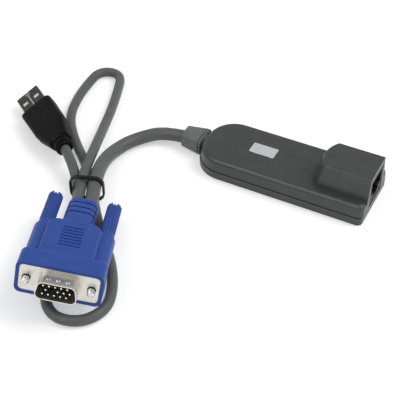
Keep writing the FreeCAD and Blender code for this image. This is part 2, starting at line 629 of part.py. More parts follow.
def build_upper_cover():
    body = new_body("upper_cover")
    pad(
        body,
        case_plate(body, "deck", "upper_start", "upper_inset", "end_trim"),
        "body_top - upper_start",
        draft="-side_draft",
    )
    soften(body, "deck_edge", "top_round", at_height(size("body_top")))
    outer = [
        Profile(body, f"block_{level}", offset=height).bowed(
            "case_length / 2 + end_trim",
            f"block_{level}_length + end_trim",
            f"block_{level}_width",
            "block_bow",
        )
        for level, height in (("foot", "body_top - block_sink"), ("top", "block_top"))
    ]
    loft(body, "Additive", outer)
    head, foot = size("block_top"), size("body_top")

    def leaning_corner(edge):
        ends = sorted(v.Z for v in edge.Vertexes)
        return (
            len(ends) == 2
            and ends[1] > head - 0.01
            and ends[0] < foot + 0.1
            and edge.CenterOfMass.x < size("case_length / 2 - block_top_length / 2")
        )

    soften(body, "block_corner", "block_side_round", leaning_corner)
    soften(body, "block_edge", "block_edge_round", at_height(head))
    trim = Profile(body, "trim", "YZ_Plane", "case_length / 2 + end_trim + cut_margin")
    trim.rectangle("-case_width", "case_width", "-cut_margin", "block_top + cut_margin")
    pocket(body, trim, "end_trim + cut_margin")
    end = size("case_length / 2")

    def deck_corner(edge):
        return (
            len(edge.Vertexes) == 2
            and all(abs(v.X - end) < 1e-3 for v in edge.Vertexes)
            and abs(edge.CenterOfMass.x - end) < 1e-3
            and abs(edge.CenterOfMass.y) > size("case_width / 2 - corner_reach")
            and edge.Length > size("corner_reach")
        )

    soften(body, "deck_corner", "corner_round", deck_corner)
    pocket(
        body,
        case_plate(body, "inside", "upper_start", "inside_inset"),
        "body_top - case_roof - upper_start",
        onward=True,
    )
    inner = [
        Profile(body, "hollow_foot", offset="body_top - block_sink").bowed(
            "case_length / 2 - inside_inset",
            "block_foot_length - inside_inset - block_bow_wall",
            "block_foot_width - 2 * block_wall",
            "block_bow - block_wall",
        ),
        Profile(body, "hollow_head", offset="block_top - case_roof").bowed(
            "case_length / 2 - inside_inset",
            "block_top_length - inside_inset - block_wall",
            "block_top_width - 2 * block_wall + block_head_ease",
            "block_bow - block_wall",
        ),
    ]
    loft(body, "Subtractive", inner)
    opening = Profile(body, "port_opening", "YZ_Plane", "case_length / 2 + cut_margin")
    opening.rectangle(
        "-socket_width / 2 - shield_sheet - fit_gap",
        "socket_width / 2 + shield_sheet + fit_gap",
        "upper_start - cut_margin",
        "board_top + socket_height + shield_sheet + fit_gap",
    )
    pocket(body, opening, "inside_inset + 2 * cut_margin")
    lip = case_plate(body, "lip", "upper_start", "case_wall + fit_gap")
    lip.plate(
        "-case_length / 2 + inside_inset",
        "case_length / 2 - inside_inset",
        "-case_width / 2 + inside_inset",
        "case_width / 2 - inside_inset",
        *["corner_round - inside_inset * round_follow"] * 2,
        *["end_round - inside_inset * round_follow"] * 2,
    )
    pad(body, lip, "seam_gap + lip_depth", back=True)
    cable_hole(body, "cable_hole_upper")
    return body


# ---------------------------------------------------------------- electronics
def build_board():
    body = new_body("circuit_board")
    board = Profile(body, "board", offset="board_under").plate(
        "-case_length / 2 + inside_inset + board_end",
        "case_length / 2 - inside_inset - board_gap",
        "-case_width / 2 + inside_inset + board_gap",
        "case_width / 2 - inside_inset - board_gap",
        *["board_corner"] * 2,
        *["board_round"] * 2,
    )
    pad(body, board, "board_thick")
    return body


def build_board_parts():
    chip = box(
        "controller_chip", "chip_place", "0", "board_top", "chip_side", "chip_side", "chip_thick"
    )
    buffer = box(
        "video_buffer",
        "rear_place",
        "rear_row",
        "board_top",
        "buffer_length",
        "buffer_width",
        "buffer_thick",
    )
    crystal = box(
        "clock_crystal",
        "rear_place",
        "-rear_row",
        "board_top",
        "crystal_length",
        "crystal_width",
        "crystal_thick",
    )
    header = box(
        "cable_header",
        "-case_length / 2 + inside_inset + board_end + header_place",
        "0",
        "board_top",
        "header_width",
        "header_length",
        "header_thick",
    )
    places = (
        ("can_place", "-can_row"),
        ("can_place", "can_row"),
        ("-can_place", "can_rear_row"),
        ("can_place + can_pitch", "-can_row"),
    )
    cans = []
    for number, (x, y) in enumerate(places):
        can = doc.addObject("Part::Cylinder", f"can_{number}")
        can.setExpression("Radius", bound("can_diameter / 2"))
        can.setExpression("Height", bound("can_thick"))
        lie(can, x, y, "board_top")
        cans.append(can)
    capacitors = doc.addObject("Part::Compound", "board_capacitors")
    capacitors.Links = cans
    return [chip, buffer, crystal, header, capacitors]


def build_socket_body():
    body = new_body("socket_body")
    block = Profile(body, "socket_block", "YZ_Plane", "socket_face - socket_depth")
    block.rectangle(
        "-socket_width / 2", "socket_width / 2", "board_top", "board_top + socket_height"
    )
    pad(body, block, "socket_depth")
    levels = (
        ("port", "port_width", "port_top - port_height", "port_top", "port_depth"),
        (
            "latch",
            "latch_width",
            "port_top - port_height - latch_height",
            "port_top - port_height + cut_margin",
            "port_depth",
        ),
        (
            "catch",
            "catch_width",
            "port_top - port_height - latch_height - catch_height",
            "port_top - port_height + cut_margin",
            "port_depth - catch_stop",
        ),
    )
    for name, width, bottom, top, depth in levels:
        cut = Profile(body, name, "YZ_Plane", "socket_face")
        cut.rectangle(f"-{width} / 2", f"{width} / 2", bottom, top)
        pocket(body, cut, depth)
    return body


def build_socket_shield():
    """A sheet cap over the socket's top and sides, open at the face and the back."""
    outer = box(
        "shield_outer",
        "socket_face - socket_depth / 2",
        "0",
        "board_top",
        "socket_depth",
        "socket_width + 2 * shield_sheet",
        "socket_height + shield_sheet",
    )
    inner = box(
        "shield_inner",
        "socket_face - socket_depth / 2",
        "0",
        "board_top",
        "socket_depth",
        "socket_width",
        "socket_height",
    )
    return cut("socket_shield", outer, inner)


def build_socket_contacts():
    """Spring contacts that hang from the roof of the opening and slope back into it."""
    face, roof = size("socket_face"), size("port_top")
    thick, drop, tip = size("contact_sheet"), size("contact_drop"), size("contact_tip")
    front, rear = face - size("contact_front"), face - size("port_depth - contact_end")
    bend = front - size("contact_flat")
    profile = [
        Vector(front, 0, roof),
        Vector(front, 0, roof - thick),
        Vector(bend, 0, roof - thick),
        Vector(rear, 0, roof - drop),
        Vector(rear, 0, roof - drop + tip),
        Vector(bend, 0, roof),
    ]
    strip = Part.Face(Part.makePolygon(profile + profile[:1]))
    width, pitch, count = size("contact_width"), size("contact_pitch"), int(size("contact_count"))
    solids = []
    for number in range(count):
        middle = (number - (count - 1) / 2) * pitch
        solid = strip.extrude(Vector(0, width, 0))
        solid.translate(Vector(0, middle - width / 2, 0))
        solids.append(solid)
    contacts = doc.addObject("Part::Feature", "socket_contacts")
    contacts.Shape = Part.makeCompound(solids)
    return contacts


# ---------------------------------------------------------------- boot
def build_boot():
    """The cable's oval strain relief; its local Z runs out of the case along the cable."""
    body = new_body("cable_boot")
    sleeve = [
        Profile(body, "sleeve_start", offset="boot_collar + boot_groove").oblong(
            "boot_height", "boot_width", "boot_round"
        ),
        Profile(body, "sleeve_end", offset="boot_length").oblong(
            "boot_end_height", "boot_end_width", "boot_end_round"
        ),
    ]
    loft(body, "Additive", sleeve)
    for name, start, length, depth in (
        ("waist", "boot_collar", "boot_groove", "boot_groove_depth"),
        ("collar", "0", "boot_collar", "0"),
    ):
        ring = Profile(body, name, offset=start).oblong(
            f"boot_height - 2 * {depth}", f"boot_width - 2 * {depth}", f"boot_round - {depth}"
        )
        pad(body, ring, length)
    pad(body, Profile(body, "neck").circle("boot_neck / 2"), "inside_inset + boot_flange_back", True)
    plate = Profile(body, "inner_plate", offset="-inside_inset - boot_flange_back").rectangle(
        "case_floor + fit_gap - cable_height",
        "body_top - case_roof - fit_gap - cable_height",
        "-boot_flange / 2",
        "boot_flange / 2",
    )
    pad(body, plate, "boot_flange_thick", True)
    bore = Profile(body, "bore", offset="boot_length + cut_margin").circle("video_cable_diameter / 2")
    pocket(
        body,
        bore,
        "boot_length + inside_inset + boot_flange_back + boot_flange_thick + 2 * cut_margin",
    )
    lie(body, "-case_length / 2", "0", "cable_height", "0", "-90", "0")
    return body


# ---------------------------------------------------------------- video plug
def build_video_shell():
    body = new_body("video_shell")
    flange = Profile(body, "flange", offset="0").oblong(
        "flange_width", "flange_height", "flange_round"
    )
    pad(body, flange, "flange_sheet", back=True)
    pad(body, Profile(body, "collar").shell_outline("collar_step"), "collar_depth")
    pad(body, Profile(body, "shell").shell_outline("0"), "shell_depth")
    dimples = Profile(body, "dimples", "XZ_Plane", "-shell_height / 2 - dimple_height")
    for place in (-1, 0, 1):
        dimples.circle("dimple_radius", f"{place} * dimple_spacing", "dimple_place")
    pad(body, dimples, "dimple_height + shell_sheet / 2")
    pocket(
        body,
        Profile(body, "bore", offset="shell_depth + cut_margin").shell_outline("-shell_sheet"),
        "shell_depth + flange_sheet + 2 * cut_margin",
    )
    holes = Profile(body, "screw_holes", offset="cut_margin")
    holes.circle("flange_hole / 2", "-half_spacing").circle("flange_hole / 2", "half_spacing")
    pocket(body, holes, "flange_sheet + 2 * cut_margin")
    return body


def build_video_insulator():
    body = new_body("video_insulator")
    rear = Profile(body, "core", offset="-flange_sheet").oblong(
        "core_width", "core_height", "flange_round"
    )
    pad(body, rear, "core_depth - flange_sheet", back=True)
    front = Profile(body, "core_face", offset="-flange_sheet - cut_margin")
    front.shell_outline("-shell_sheet")
    pad(body, front, "flange_sheet + cut_margin - fit_gap")
    holes = Profile(body, "pin_holes", offset="cut_margin").pins("pin_diameter / 2")
    pocket(body, holes, "core_depth + 2 * cut_margin")
    return body


def build_video_pins():
    body = new_body("video_pins")
    body.AllowCompound = True
    pad(
        body,
        Profile(body, "pins", offset="-pin_tail").pins("pin_diameter / 2"),
        "pin_tail + pin_reach",
    )
    soften(body, "pin_tips", "pin_diameter / 4", at_height(size("pin_reach")), "Chamfer")
    return body


def build_hood():
    body = new_body("video_hood")
    front = Profile(body, "hood_rim_outline", offset="hood_lip").oblong(
        "flange_width + 2 * hood_rim", "flange_height + 2 * hood_rim_thin", "hood_round"
    )
    pad(body, front, "hood_lip + hood_front", back=True)
    back = -size("hood_front")
    soften(body, "rim_back", "rim_edge", at_height(back))
    plan = Profile(body, "middle", "XZ_Plane").plate(
        "-hood_width / 2",
        "hood_width / 2",
        "-hood_length",
        "-hood_front / 2",
        *("shoulder_round", "hood_edge", "hood_edge", "shoulder_round"),
    )
    pad(body, plan, "hood_height").Midplane = True
    doc.recompute()
    crown = size("hood_height / 2")

    def long_edge(edge):
        return all(abs(abs(v.Y) - crown) < 1e-4 for v in edge.Vertexes) and (
            abs(abs(edge.CenterOfMass.y) - crown) < 1e-4 and edge.CenterOfMass.z < back - size("cut_margin")
        )

    soften(body, "middle_edge", "hood_edge", long_edge)
    sleeves = Profile(body, "sleeves", offset="-hood_front / 2").oblong(
        "sleeve_width", "sleeve_height", "sleeve_round"
    )
    pad(body, sleeves, "sleeve_length - hood_front / 2", back=True)
    neck = [
        Profile(body, "neck", offset="-hood_length + neck_root").oblong(
            "neck_width", "neck_height", "neck_corner"
        ),
        Profile(body, "neck_tail", offset="-neck_end").oblong(
            "neck_width - neck_taper", "neck_height - neck_taper", "neck_corner - neck_taper / 2"
        ),
    ]
    loft(body, "Additive", neck)
    soften(body, "neck_lip", "neck_round", at_height(-size("neck_end")))
    ring = Profile(body, "ring", offset="-neck_end + ring_start").oblong(
        "neck_width + 2 * cut_margin", "neck_height + 2 * cut_margin", "neck_corner + cut_margin"
    )
    ring.oblong(
        "neck_width - neck_taper - 2 * ring_depth",
        "neck_height - neck_taper - 2 * ring_depth",
        "neck_corner - neck_taper / 2 - ring_depth",
    )
    first = pocket(body, ring, "ring_width", onward=True)
    repeat(body, [first], "rings", "Z_Axis", "ring_count", "(ring_count - 1) * ring_pitch")
    grooves = []
    for name, side, onward in (("rib_top", "", True), ("rib_bottom", "-", False)):
        rib = Profile(body, name, "XZ_Plane", f"{side}(hood_height / 2 + cut_margin) * -1")
        rib.rectangle(
            "-rib_length / 2",
            "rib_length / 2",
            "-hood_length + rib_start",
            "-hood_length + rib_start + rib_width",
        )
        grooves.append(pocket(body, rib, "rib_depth + cut_margin", onward=onward))
    repeat(body, grooves, "ribs", "Z_Axis", "rib_count", "(rib_count - 1) * rib_pitch")
    seat = Profile(body, "flange_seat", offset="hood_lip").oblong(
        "flange_width", "flange_height", "flange_round"
    )
    pocket(body, seat, "hood_lip + flange_sheet")
    chamber = Profile(body, "core_seat", offset="0").oblong(
        "core_width", "core_height", "flange_round"
    )
    pocket(body, chamber, "pin_tail + chamber_rear")
    for name, radius, start, depth, onward in (
        ("screw_ways", "flange_hole / 2 + fit_gap", "0", "sleeve_length", False),
        (
            "shank_ways",
            "shank_diameter / 2 + shank_gap",
            "-sleeve_length - cut_margin",
            "shank_length + knob_gap + cut_margin",
            True,
        ),
    ):
        ways = Profile(body, name, offset=start)
        ways.circle(radius, "-half_spacing").circle(radius, "half_spacing")
        pocket(body, ways, depth, onward=onward)
    cables = Profile(body, "cable_ways", offset="-neck_end")
    cables.circle("video_cable_diameter / 2", "video_hole").circle("usb_cable_diameter / 2", "-usb_hole")
    pocket(body, cables, "cable_depth", onward=True)
    return body


def build_knob(side):
    """A moulded thumbscrew grip: fluted, with a slot in its end and a smooth shank."""
    body = new_body(f"{side}_knob")
    shank = Profile(body, "shank", offset="-shank_back").circle("shank_diameter / 2")
    pad(body, shank, "shank_length - knob_gap")
    grip = Profile(body, "grip_bar", offset="-knob_back").circle("knob_diameter / 2")
    pad(body, grip, "knob_length")
    soften(body, "grip_end", "knob_edge", at_height(-size("knob_back")), "Chamfer")
    flute = Profile(body, "flute", offset="-knob_back").circle(
        "flute_radius", "knob_diameter / 2"
    )
    first = pocket(body, flute, "flute_length", onward=True)
    pattern = body.newObject("PartDesign::PolarPattern", "flutes")
    pattern.Originals = [first]
    pattern.Axis = (next(f for f in body.Origin.OriginFeatures if f.Role == "Z_Axis"), [""])
    pattern.Angle = 360
    pattern.setExpression("Occurrences", bound("flute_count"))
    body.Tip = pattern
    doc.recompute()
    slot = Profile(body, "grip_slot", offset="-knob_back")
    slot.rectangle(
        "-knob_slot_width / 2", "knob_slot_width / 2", "-knob_diameter", "knob_diameter"
    )
    pocket(body, slot, "knob_slot_depth", onward=True)
    bore = Profile(body, "jack_bore", offset="-shank_back - jack_grip").circle("jack_shank / 2")
    pocket(body, bore, "jack_grip + shank_length", onward=True)
    return body


def build_jackscrew(side):
    """A steel rod with a thicker, slotted tip; it turns with the grip."""
    body = new_body(f"{side}_jackscrew")
    rod = Profile(body, "rod", offset="-shank_back - jack_grip").circle("jack_shank / 2")
    pad(body, rod, "shank_back + jack_grip + jack_reach - jack_tip")
    tip = Profile(body, "tip", offset="jack_reach - jack_tip").circle("jack_diameter / 2")
    pad(body, tip, "jack_tip")
    soften(body, "tip_chamfer", "jack_chamfer", at_height(size("jack_reach")), "Chamfer")
    slot = Profile(body, "tip_slot", offset="jack_reach")
    slot.rectangle(
        "-jack_slot_width / 2", "jack_slot_width / 2", "-jack_diameter", "jack_diameter"
    )
    pocket(body, slot, "jack_slot_depth")
    return body


# ---------------------------------------------------------------- USB plug
def build_usb_shell():
    body = new_body("usb_shell")
    tube = Profile(body, "tube", offset="-usb_root").oblong(
        "usb_width", "usb_height", "usb_corner"
    )
    tube.oblong("usb_width - 2 * usb_sheet", "usb_height - 2 * usb_sheet", "usb_corner / 2")
    pad(body, tube, "usb_root + usb_reach")
    windows = Profile(body, "windows", "XZ_Plane", "-usb_height / 2 - cut_margin")
    for side in ("-1", "1"):
        windows.rectangle(
            f"{side} * window_spacing / 2 - window_width / 2",
            f"{side} * window_spacing / 2 + window_width / 2",
            "usb_reach - window_back - window_length / 2",
            "usb_reach - window_back + window_length / 2",
        )
    pocket(body, windows, "usb_height + 2 * cut_margin", onward=True)
    return body


def build_usb_tongue():
    body = new_body("usb_tongue")
    root = Profile(body, "root", offset="-usb_root").oblong(
        "usb_width - 2 * usb_sheet", "usb_height - 2 * usb_sheet", "usb_corner / 2"
    )
    pad(body, root, "usb_root - tongue_root")
    tongue = Profile(body, "tongue", offset="-usb_root").rectangle(
        "-usb_width / 2 + usb_sheet + usb_corner",
        "usb_width / 2 - usb_sheet - usb_corner",
        "usb_height / 2 - usb_sheet - tongue_thick",
        "usb_height / 2 - usb_sheet",
    )
    pad(body, tongue, "usb_root + usb_reach - tongue_recess")
    return body


def build_usb_blades():
    """Four flat contacts on the tongue; the outer pair reaches nearer to the nose."""
    outer, inner = "blade_back", "(blade_back + blade_step)"
    blades = []
    for number, (spacing, back) in enumerate(
        (
            ("-blade_outer", outer),
            ("-blade_inner", inner),
            ("blade_inner", inner),
            ("blade_outer", outer),
        )
    ):
        blade = doc.addObject("Part::Box", f"usb_blade_{number}")
        blade.setExpression("Length", bound("blade_width"))
        blade.setExpression("Width", bound("blade_thick"))
        blade.setExpression("Height", bound(f"usb_reach - tongue_recess - {back} + tongue_root"))
        lie(
            blade,
            f"{spacing} / 2 - blade_width / 2",
            "usb_height / 2 - usb_sheet - tongue_thick - blade_thick",
            "-tongue_root",
        )
        blades.append(blade)
    contacts = doc.addObject("Part::Compound", "usb_contacts")
    contacts.Links = blades
    return contacts


def build_usb_grip():
    body = new_body("usb_grip")
    sections = [
        Profile(body, "nose", offset="0").oblong(
            "grip_width - 2 * grip_nose_inset", "grip_height - 2 * grip_nose_inset", "grip_round"
        ),
        Profile(body, "front", offset="-grip_nose").oblong(
            "grip_width", "grip_height", "grip_round"
        ),
        Profile(body, "waist", offset="-grip_straight").oblong(
            "grip_waist_width", "grip_height", "grip_round"
        ),
        Profile(body, "tail", offset="-grip_length").oblong(
            "grip_tail_width", "grip_tail_height", "grip_tail_round"
        ),
    ]
    loft(body, "Additive", sections)
    relief = Profile(body, "relief", offset="-usb_back").circle("relief_diameter / 2")
    pad(body, relief, "relief_length + relief_root")
    soften(body, "relief_end", "relief_edge", at_height(-size("usb_back")), "Chamfer")
    ring = Profile(body, "relief_ring", offset="-usb_back + relief_groove")
    ring.circle("relief_diameter").circle("relief_diameter / 2 - relief_groove_depth")
    first = pocket(body, ring, "relief_groove", onward=True)
    repeat(
        body,
        [first],
        "relief_rings",
        "Z_Axis",
        "relief_groove_count",
        "(relief_groove_count - 1) * relief_groove_pitch",
    )
    seat = Profile(body, "shell_seat", offset="0").oblong("usb_width", "usb_height", "usb_corner")
    pocket(body, seat, "usb_root")
    cable = Profile(body, "cable_way", offset="-usb_back").circle("usb_cable_diameter / 2")
    pocket(body, cable, "cable_depth", onward=True)
    return body


# ---------------------------------------------------------------- cables and tie
def plug_point(plug, x, z):
    """A point of a plug's own frame, on the case's frame."""
    place = Placement(
        Vector(*(size(f"{plug}_{axis}") for axis in "xyz")),
        Rotation(*(size(f"{plug}_{angle}") for angle in ("yaw", "pitch", "roll"))),
    )
    return place.multVec(Vector(x, 0, z))


def cable(name, points, diameter):
    """A round cable along straight runs joined by arcs as large as their runs allow."""
    edges, start = [], points[0]
    for before, corner, after in zip(points, points[1:], points[2:]):
        inward, onward = before - corner, after - corner
        trim = 0.45 * min(inward.Length, onward.Length)
        turn = math.pi - inward.getAngle(onward)
        radius = trim / math.tan(turn / 2)
        inward.normalize()
        onward.normalize()
        first, last = corner + inward * trim, corner + onward * trim
        across = (inward + onward).normalize()
        middle = corner + across * (math.hypot(radius, trim) - radius)
        edges += [Part.LineSegment(start, first).toShape(), Part.Arc(first, middle, last).toShape()]
        start = last
    edges.append(Part.LineSegment(start, points[-1]).toShape())
    path = Part.Wire(edges)
    ring = Part.Circle(points[0], points[1] - points[0], diameter / 2).toShape()
    solid = path.makePipeShell([Part.Wire(ring)], True, True)
    expected = math.pi * diameter**2 / 4 * path.Length
    if abs(solid.Volume - expected) > 0.01 * expected:
        raise RuntimeError(f"{name}: volume {solid.Volume:.0f}, expected {expected:.0f}")
    part = doc.addObject("Part::Feature", name)
    part.Shape = solid
    return part


def build_cables():
    """Both cables as they lie: the USB cable makes two loops and passes the tie three times."""
    mouth, depth = -size("neck_end"), size("cable_depth")
    tail = -size("usb_back")
    video_hole, usb_hole = size("video_hole"), -size("usb_hole")
    height, lying = size("cable_height"), size("usb_cable_diameter / 2")
    straight = size("cable_straight")
    video = [
        Vector(size("cable_entry - case_length / 2"), 0, height),
        Vector(-59.0, 0, height),
        Vector(-71.5, -11.5, 3.4),
        Vector(-75.2, -23.0, 3.7),
        Vector(-73.7, -35.4, 6.7),
        Vector(-68.9, -48.5, 8.9),
        plug_point("video", video_hole, mouth - straight),
        plug_point("video", video_hole, mouth + depth),
    ]
    usb = [
        plug_point("video", usb_hole, mouth + depth),
        plug_point("video", usb_hole, mouth - straight),
        Vector(-75.7, -47.4, 8.5),
        Vector(-80.9, -31.2, 7.2),
        Vector(-87.3, -13.0, 3.5),
        Vector(-92.6, 4.5, lying),
        Vector(-97.8, 19.5, lying),
        Vector(-101.5, 28.7, lying),
        Vector(-105.9, 31.1, lying),
        Vector(-110.7, 30.2, lying),
        Vector(-113.8, 26.4, lying),
        Vector(-113.6, 19.0, lying),
        Vector(-112.2, 6.0, lying),
        Vector(-107.5, -9.5, lying),
        Vector(-95.8, -23.5, lying),
        Vector(-80.1, -37.2, lying),
        Vector(-67.3, -54.0, lying + 1.1),
        Vector(-56.3, -67.6, lying),
        Vector(-41.5, -82.5, lying),
        Vector(-33.0, -95.5, lying),
        Vector(-30.2, -106.0, lying),
        Vector(-35.5, -115.5, lying),
        Vector(-46.5, -118.2, lying),
        Vector(-55.8, -110.5, lying),
        Vector(-64.0, -87.0, lying),
        Vector(-69.4, -67.0, lying),
        Vector(-74.6, -53.2, lying + 1.3),
        plug_point("usb", 0, tail - straight),
        plug_point("usb", 0, tail + depth),
    ]
    return [
        cable("video_cable", video, size("video_cable_diameter")),
        cable("usb_cable", usb, size("usb_cable_diameter")),
    ]


def build_tie():
    """A loose flat tie, two turns side by side, standing round the four strands."""
    body = new_body("cable_tie")
    band = Profile(body, "band", "XZ_Plane", "(tie_turn - tie_wire) / 2")
    for grow in ("tie_wire", "0"):
        band.plate(
            f"-tie_width / 2 - {grow}",
            f"tie_width / 2 + {grow}",
            f"tie_wire - {grow}",
            f"tie_wire + tie_height + {grow}",
            f"tie_round + {grow}",
        )
    turn = pad(body, band, "tie_wire")
    repeat(body, [turn], "tie_turns", "Y_Axis", "2", "tie_turn")
    return body


# ---------------------------------------------------------------- the adapter
def main():
    nodes = [build_lower_cover(), build_upper_cover(), build_board(), *build_board_parts()]
    nodes += [build_socket_body(), build_socket_shield(), build_socket_contacts(), build_boot()]
    video = [build_video_shell(), build_video_insulator(), build_video_pins(), build_hood()]
    for part in video:
        lie_at(part, "video")
    nodes += video
    for side, sideways in (("left", "-half_spacing"), ("right", "half_spacing")):
        for part in (build_knob(side), build_jackscrew(side)):
            lie_at(part, "video", sideways)
            nodes.append(part)
    usb = [build_usb_grip(), build_usb_shell(), build_usb_tongue(), build_usb_blades()]
    for part in usb:
        lie_at(part, "usb")
    nodes += usb
    nodes += build_cables()
    tie = build_tie()
    lie(tie, "tie_x", "tie_y", "0", "tie_yaw", "0", "0")
    nodes.append(tie)
    doc.recompute()

    for item in doc.Objects:
        if {"Invalid", "Error"} & set(item.State):
            raise RuntimeError(f"{item.Name} failed: {item.State}")
    for part in nodes:
        part.Label = part.Name
        if part.Shape.isNull() or not part.Shape.isValid():
            raise RuntimeError(f"{part.Name} has no valid shape")
    os.makedirs("parts", exist_ok=True)
    for part in nodes:
        part.Shape.exportStep(f"parts/{part.Label}.step")
    print(f"{len(nodes)} nodes written")


main()
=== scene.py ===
"""Looks of the console adapter: cables, badge, threads, finishes, camera and light.

Metres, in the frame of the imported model: the origin is the middle of the case's underside,
+X runs along the case to its network socket, +Y to its back and +Z up.
"""

import json
import logging
import math
from dataclasses import dataclass, field

import bpy
import numpy as np
from mathutils import Euler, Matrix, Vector


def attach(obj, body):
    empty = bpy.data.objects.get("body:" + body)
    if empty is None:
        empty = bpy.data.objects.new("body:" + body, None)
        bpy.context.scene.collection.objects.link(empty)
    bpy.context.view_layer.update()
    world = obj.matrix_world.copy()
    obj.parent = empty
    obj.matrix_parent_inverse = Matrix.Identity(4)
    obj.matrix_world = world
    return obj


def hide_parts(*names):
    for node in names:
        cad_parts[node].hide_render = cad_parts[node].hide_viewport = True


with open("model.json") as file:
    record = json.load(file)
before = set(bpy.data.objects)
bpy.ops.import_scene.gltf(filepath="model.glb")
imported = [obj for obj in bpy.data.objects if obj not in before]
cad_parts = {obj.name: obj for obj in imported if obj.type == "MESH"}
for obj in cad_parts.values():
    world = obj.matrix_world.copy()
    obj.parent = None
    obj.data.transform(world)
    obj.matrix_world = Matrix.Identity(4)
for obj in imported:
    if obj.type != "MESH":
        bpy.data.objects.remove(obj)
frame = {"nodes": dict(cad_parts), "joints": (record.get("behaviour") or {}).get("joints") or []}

log = logging.getLogger("adapter")
MM = 0.001
NOISE_MIDDLE = (0.3, 0.7)
EDGE_SAMPLES = 4
Colour = tuple[float, float, float]
Point = tuple[float, float, float]


# ---------------------------------------------------------------- meshes and curves
def skin(name: str, rings: np.ndarray) -> bpy.types.Object:
    """Makes a mesh from closed rings of points, each joined to the next by quads.

    Ring i, point j is joined to ring i + 1 and to point j + 1, counted round the ring. The
    first and the last ring get a face of their own, so the mesh is closed.

    Args:
        name: The object's name.
        rings: Points, shaped (rings, points in a ring, 3), in metres.

    Returns:
        The linked mesh object, with its place in its mesh.
    """
    count, around = rings.shape[:2]
    index = np.arange(count * around).reshape(count, around)
    onward = np.roll(index, -1, axis=1)
    quads = np.stack([index[:-1], onward[:-1], onward[1:], index[1:]], axis=-1)
    faces = [*quads.reshape(-1, 4).tolist(), index[0][::-1].tolist(), index[-1].tolist()]
    mesh = bpy.data.meshes.new(name)
    mesh.from_pydata(rings.reshape(-1, 3).tolist(), [], faces)
    mesh.validate()
    mesh.shade_smooth()
    piece = bpy.data.objects.new(name, mesh)
    bpy.context.scene.collection.objects.link(piece)
    return piece


def rounded_outline(width: float, depth: float, radius: float, steps: int) -> np.ndarray:
    """Points round a rectangle with rounded corners, counter-clockwise.

    Each corner is a quarter circle about a centre that stands one radius in from both sides.

    Args:
        width: Length along X.
        depth: Length along Y.
        radius: Radius of the corners.
        steps: Points in each corner.

    Returns:
        Points shaped (4 * steps, 2).
    """
    angle = np.linspace(0.0, math.pi / 2, steps)
    turns = np.arange(4)[:, None] * math.pi / 2 + angle[None, :]
    signs = np.array([[1, 1], [-1, 1], [-1, -1], [1, -1]], float)
    centres = signs * (np.array([width, depth]) / 2 - radius)
    circle = np.stack([np.cos(turns), np.sin(turns)], axis=-1) * radius
    return (centres[:, None, :] + circle).reshape(-1, 2)


def basis_about(axis: Vector) -> np.ndarray:
    """Three unit rows: across, up and along, for a direction.

    Args:
        axis: The direction that becomes the third row.

    Returns:
        A (3, 3) array whose rows are at right angles.
    """
    along = np.array(axis.normalized())
    across = np.cross(along, (0.0, 0.0, 1.0))
    across /= np.linalg.norm(across)
    return np.stack([across, np.cross(along, across), along])


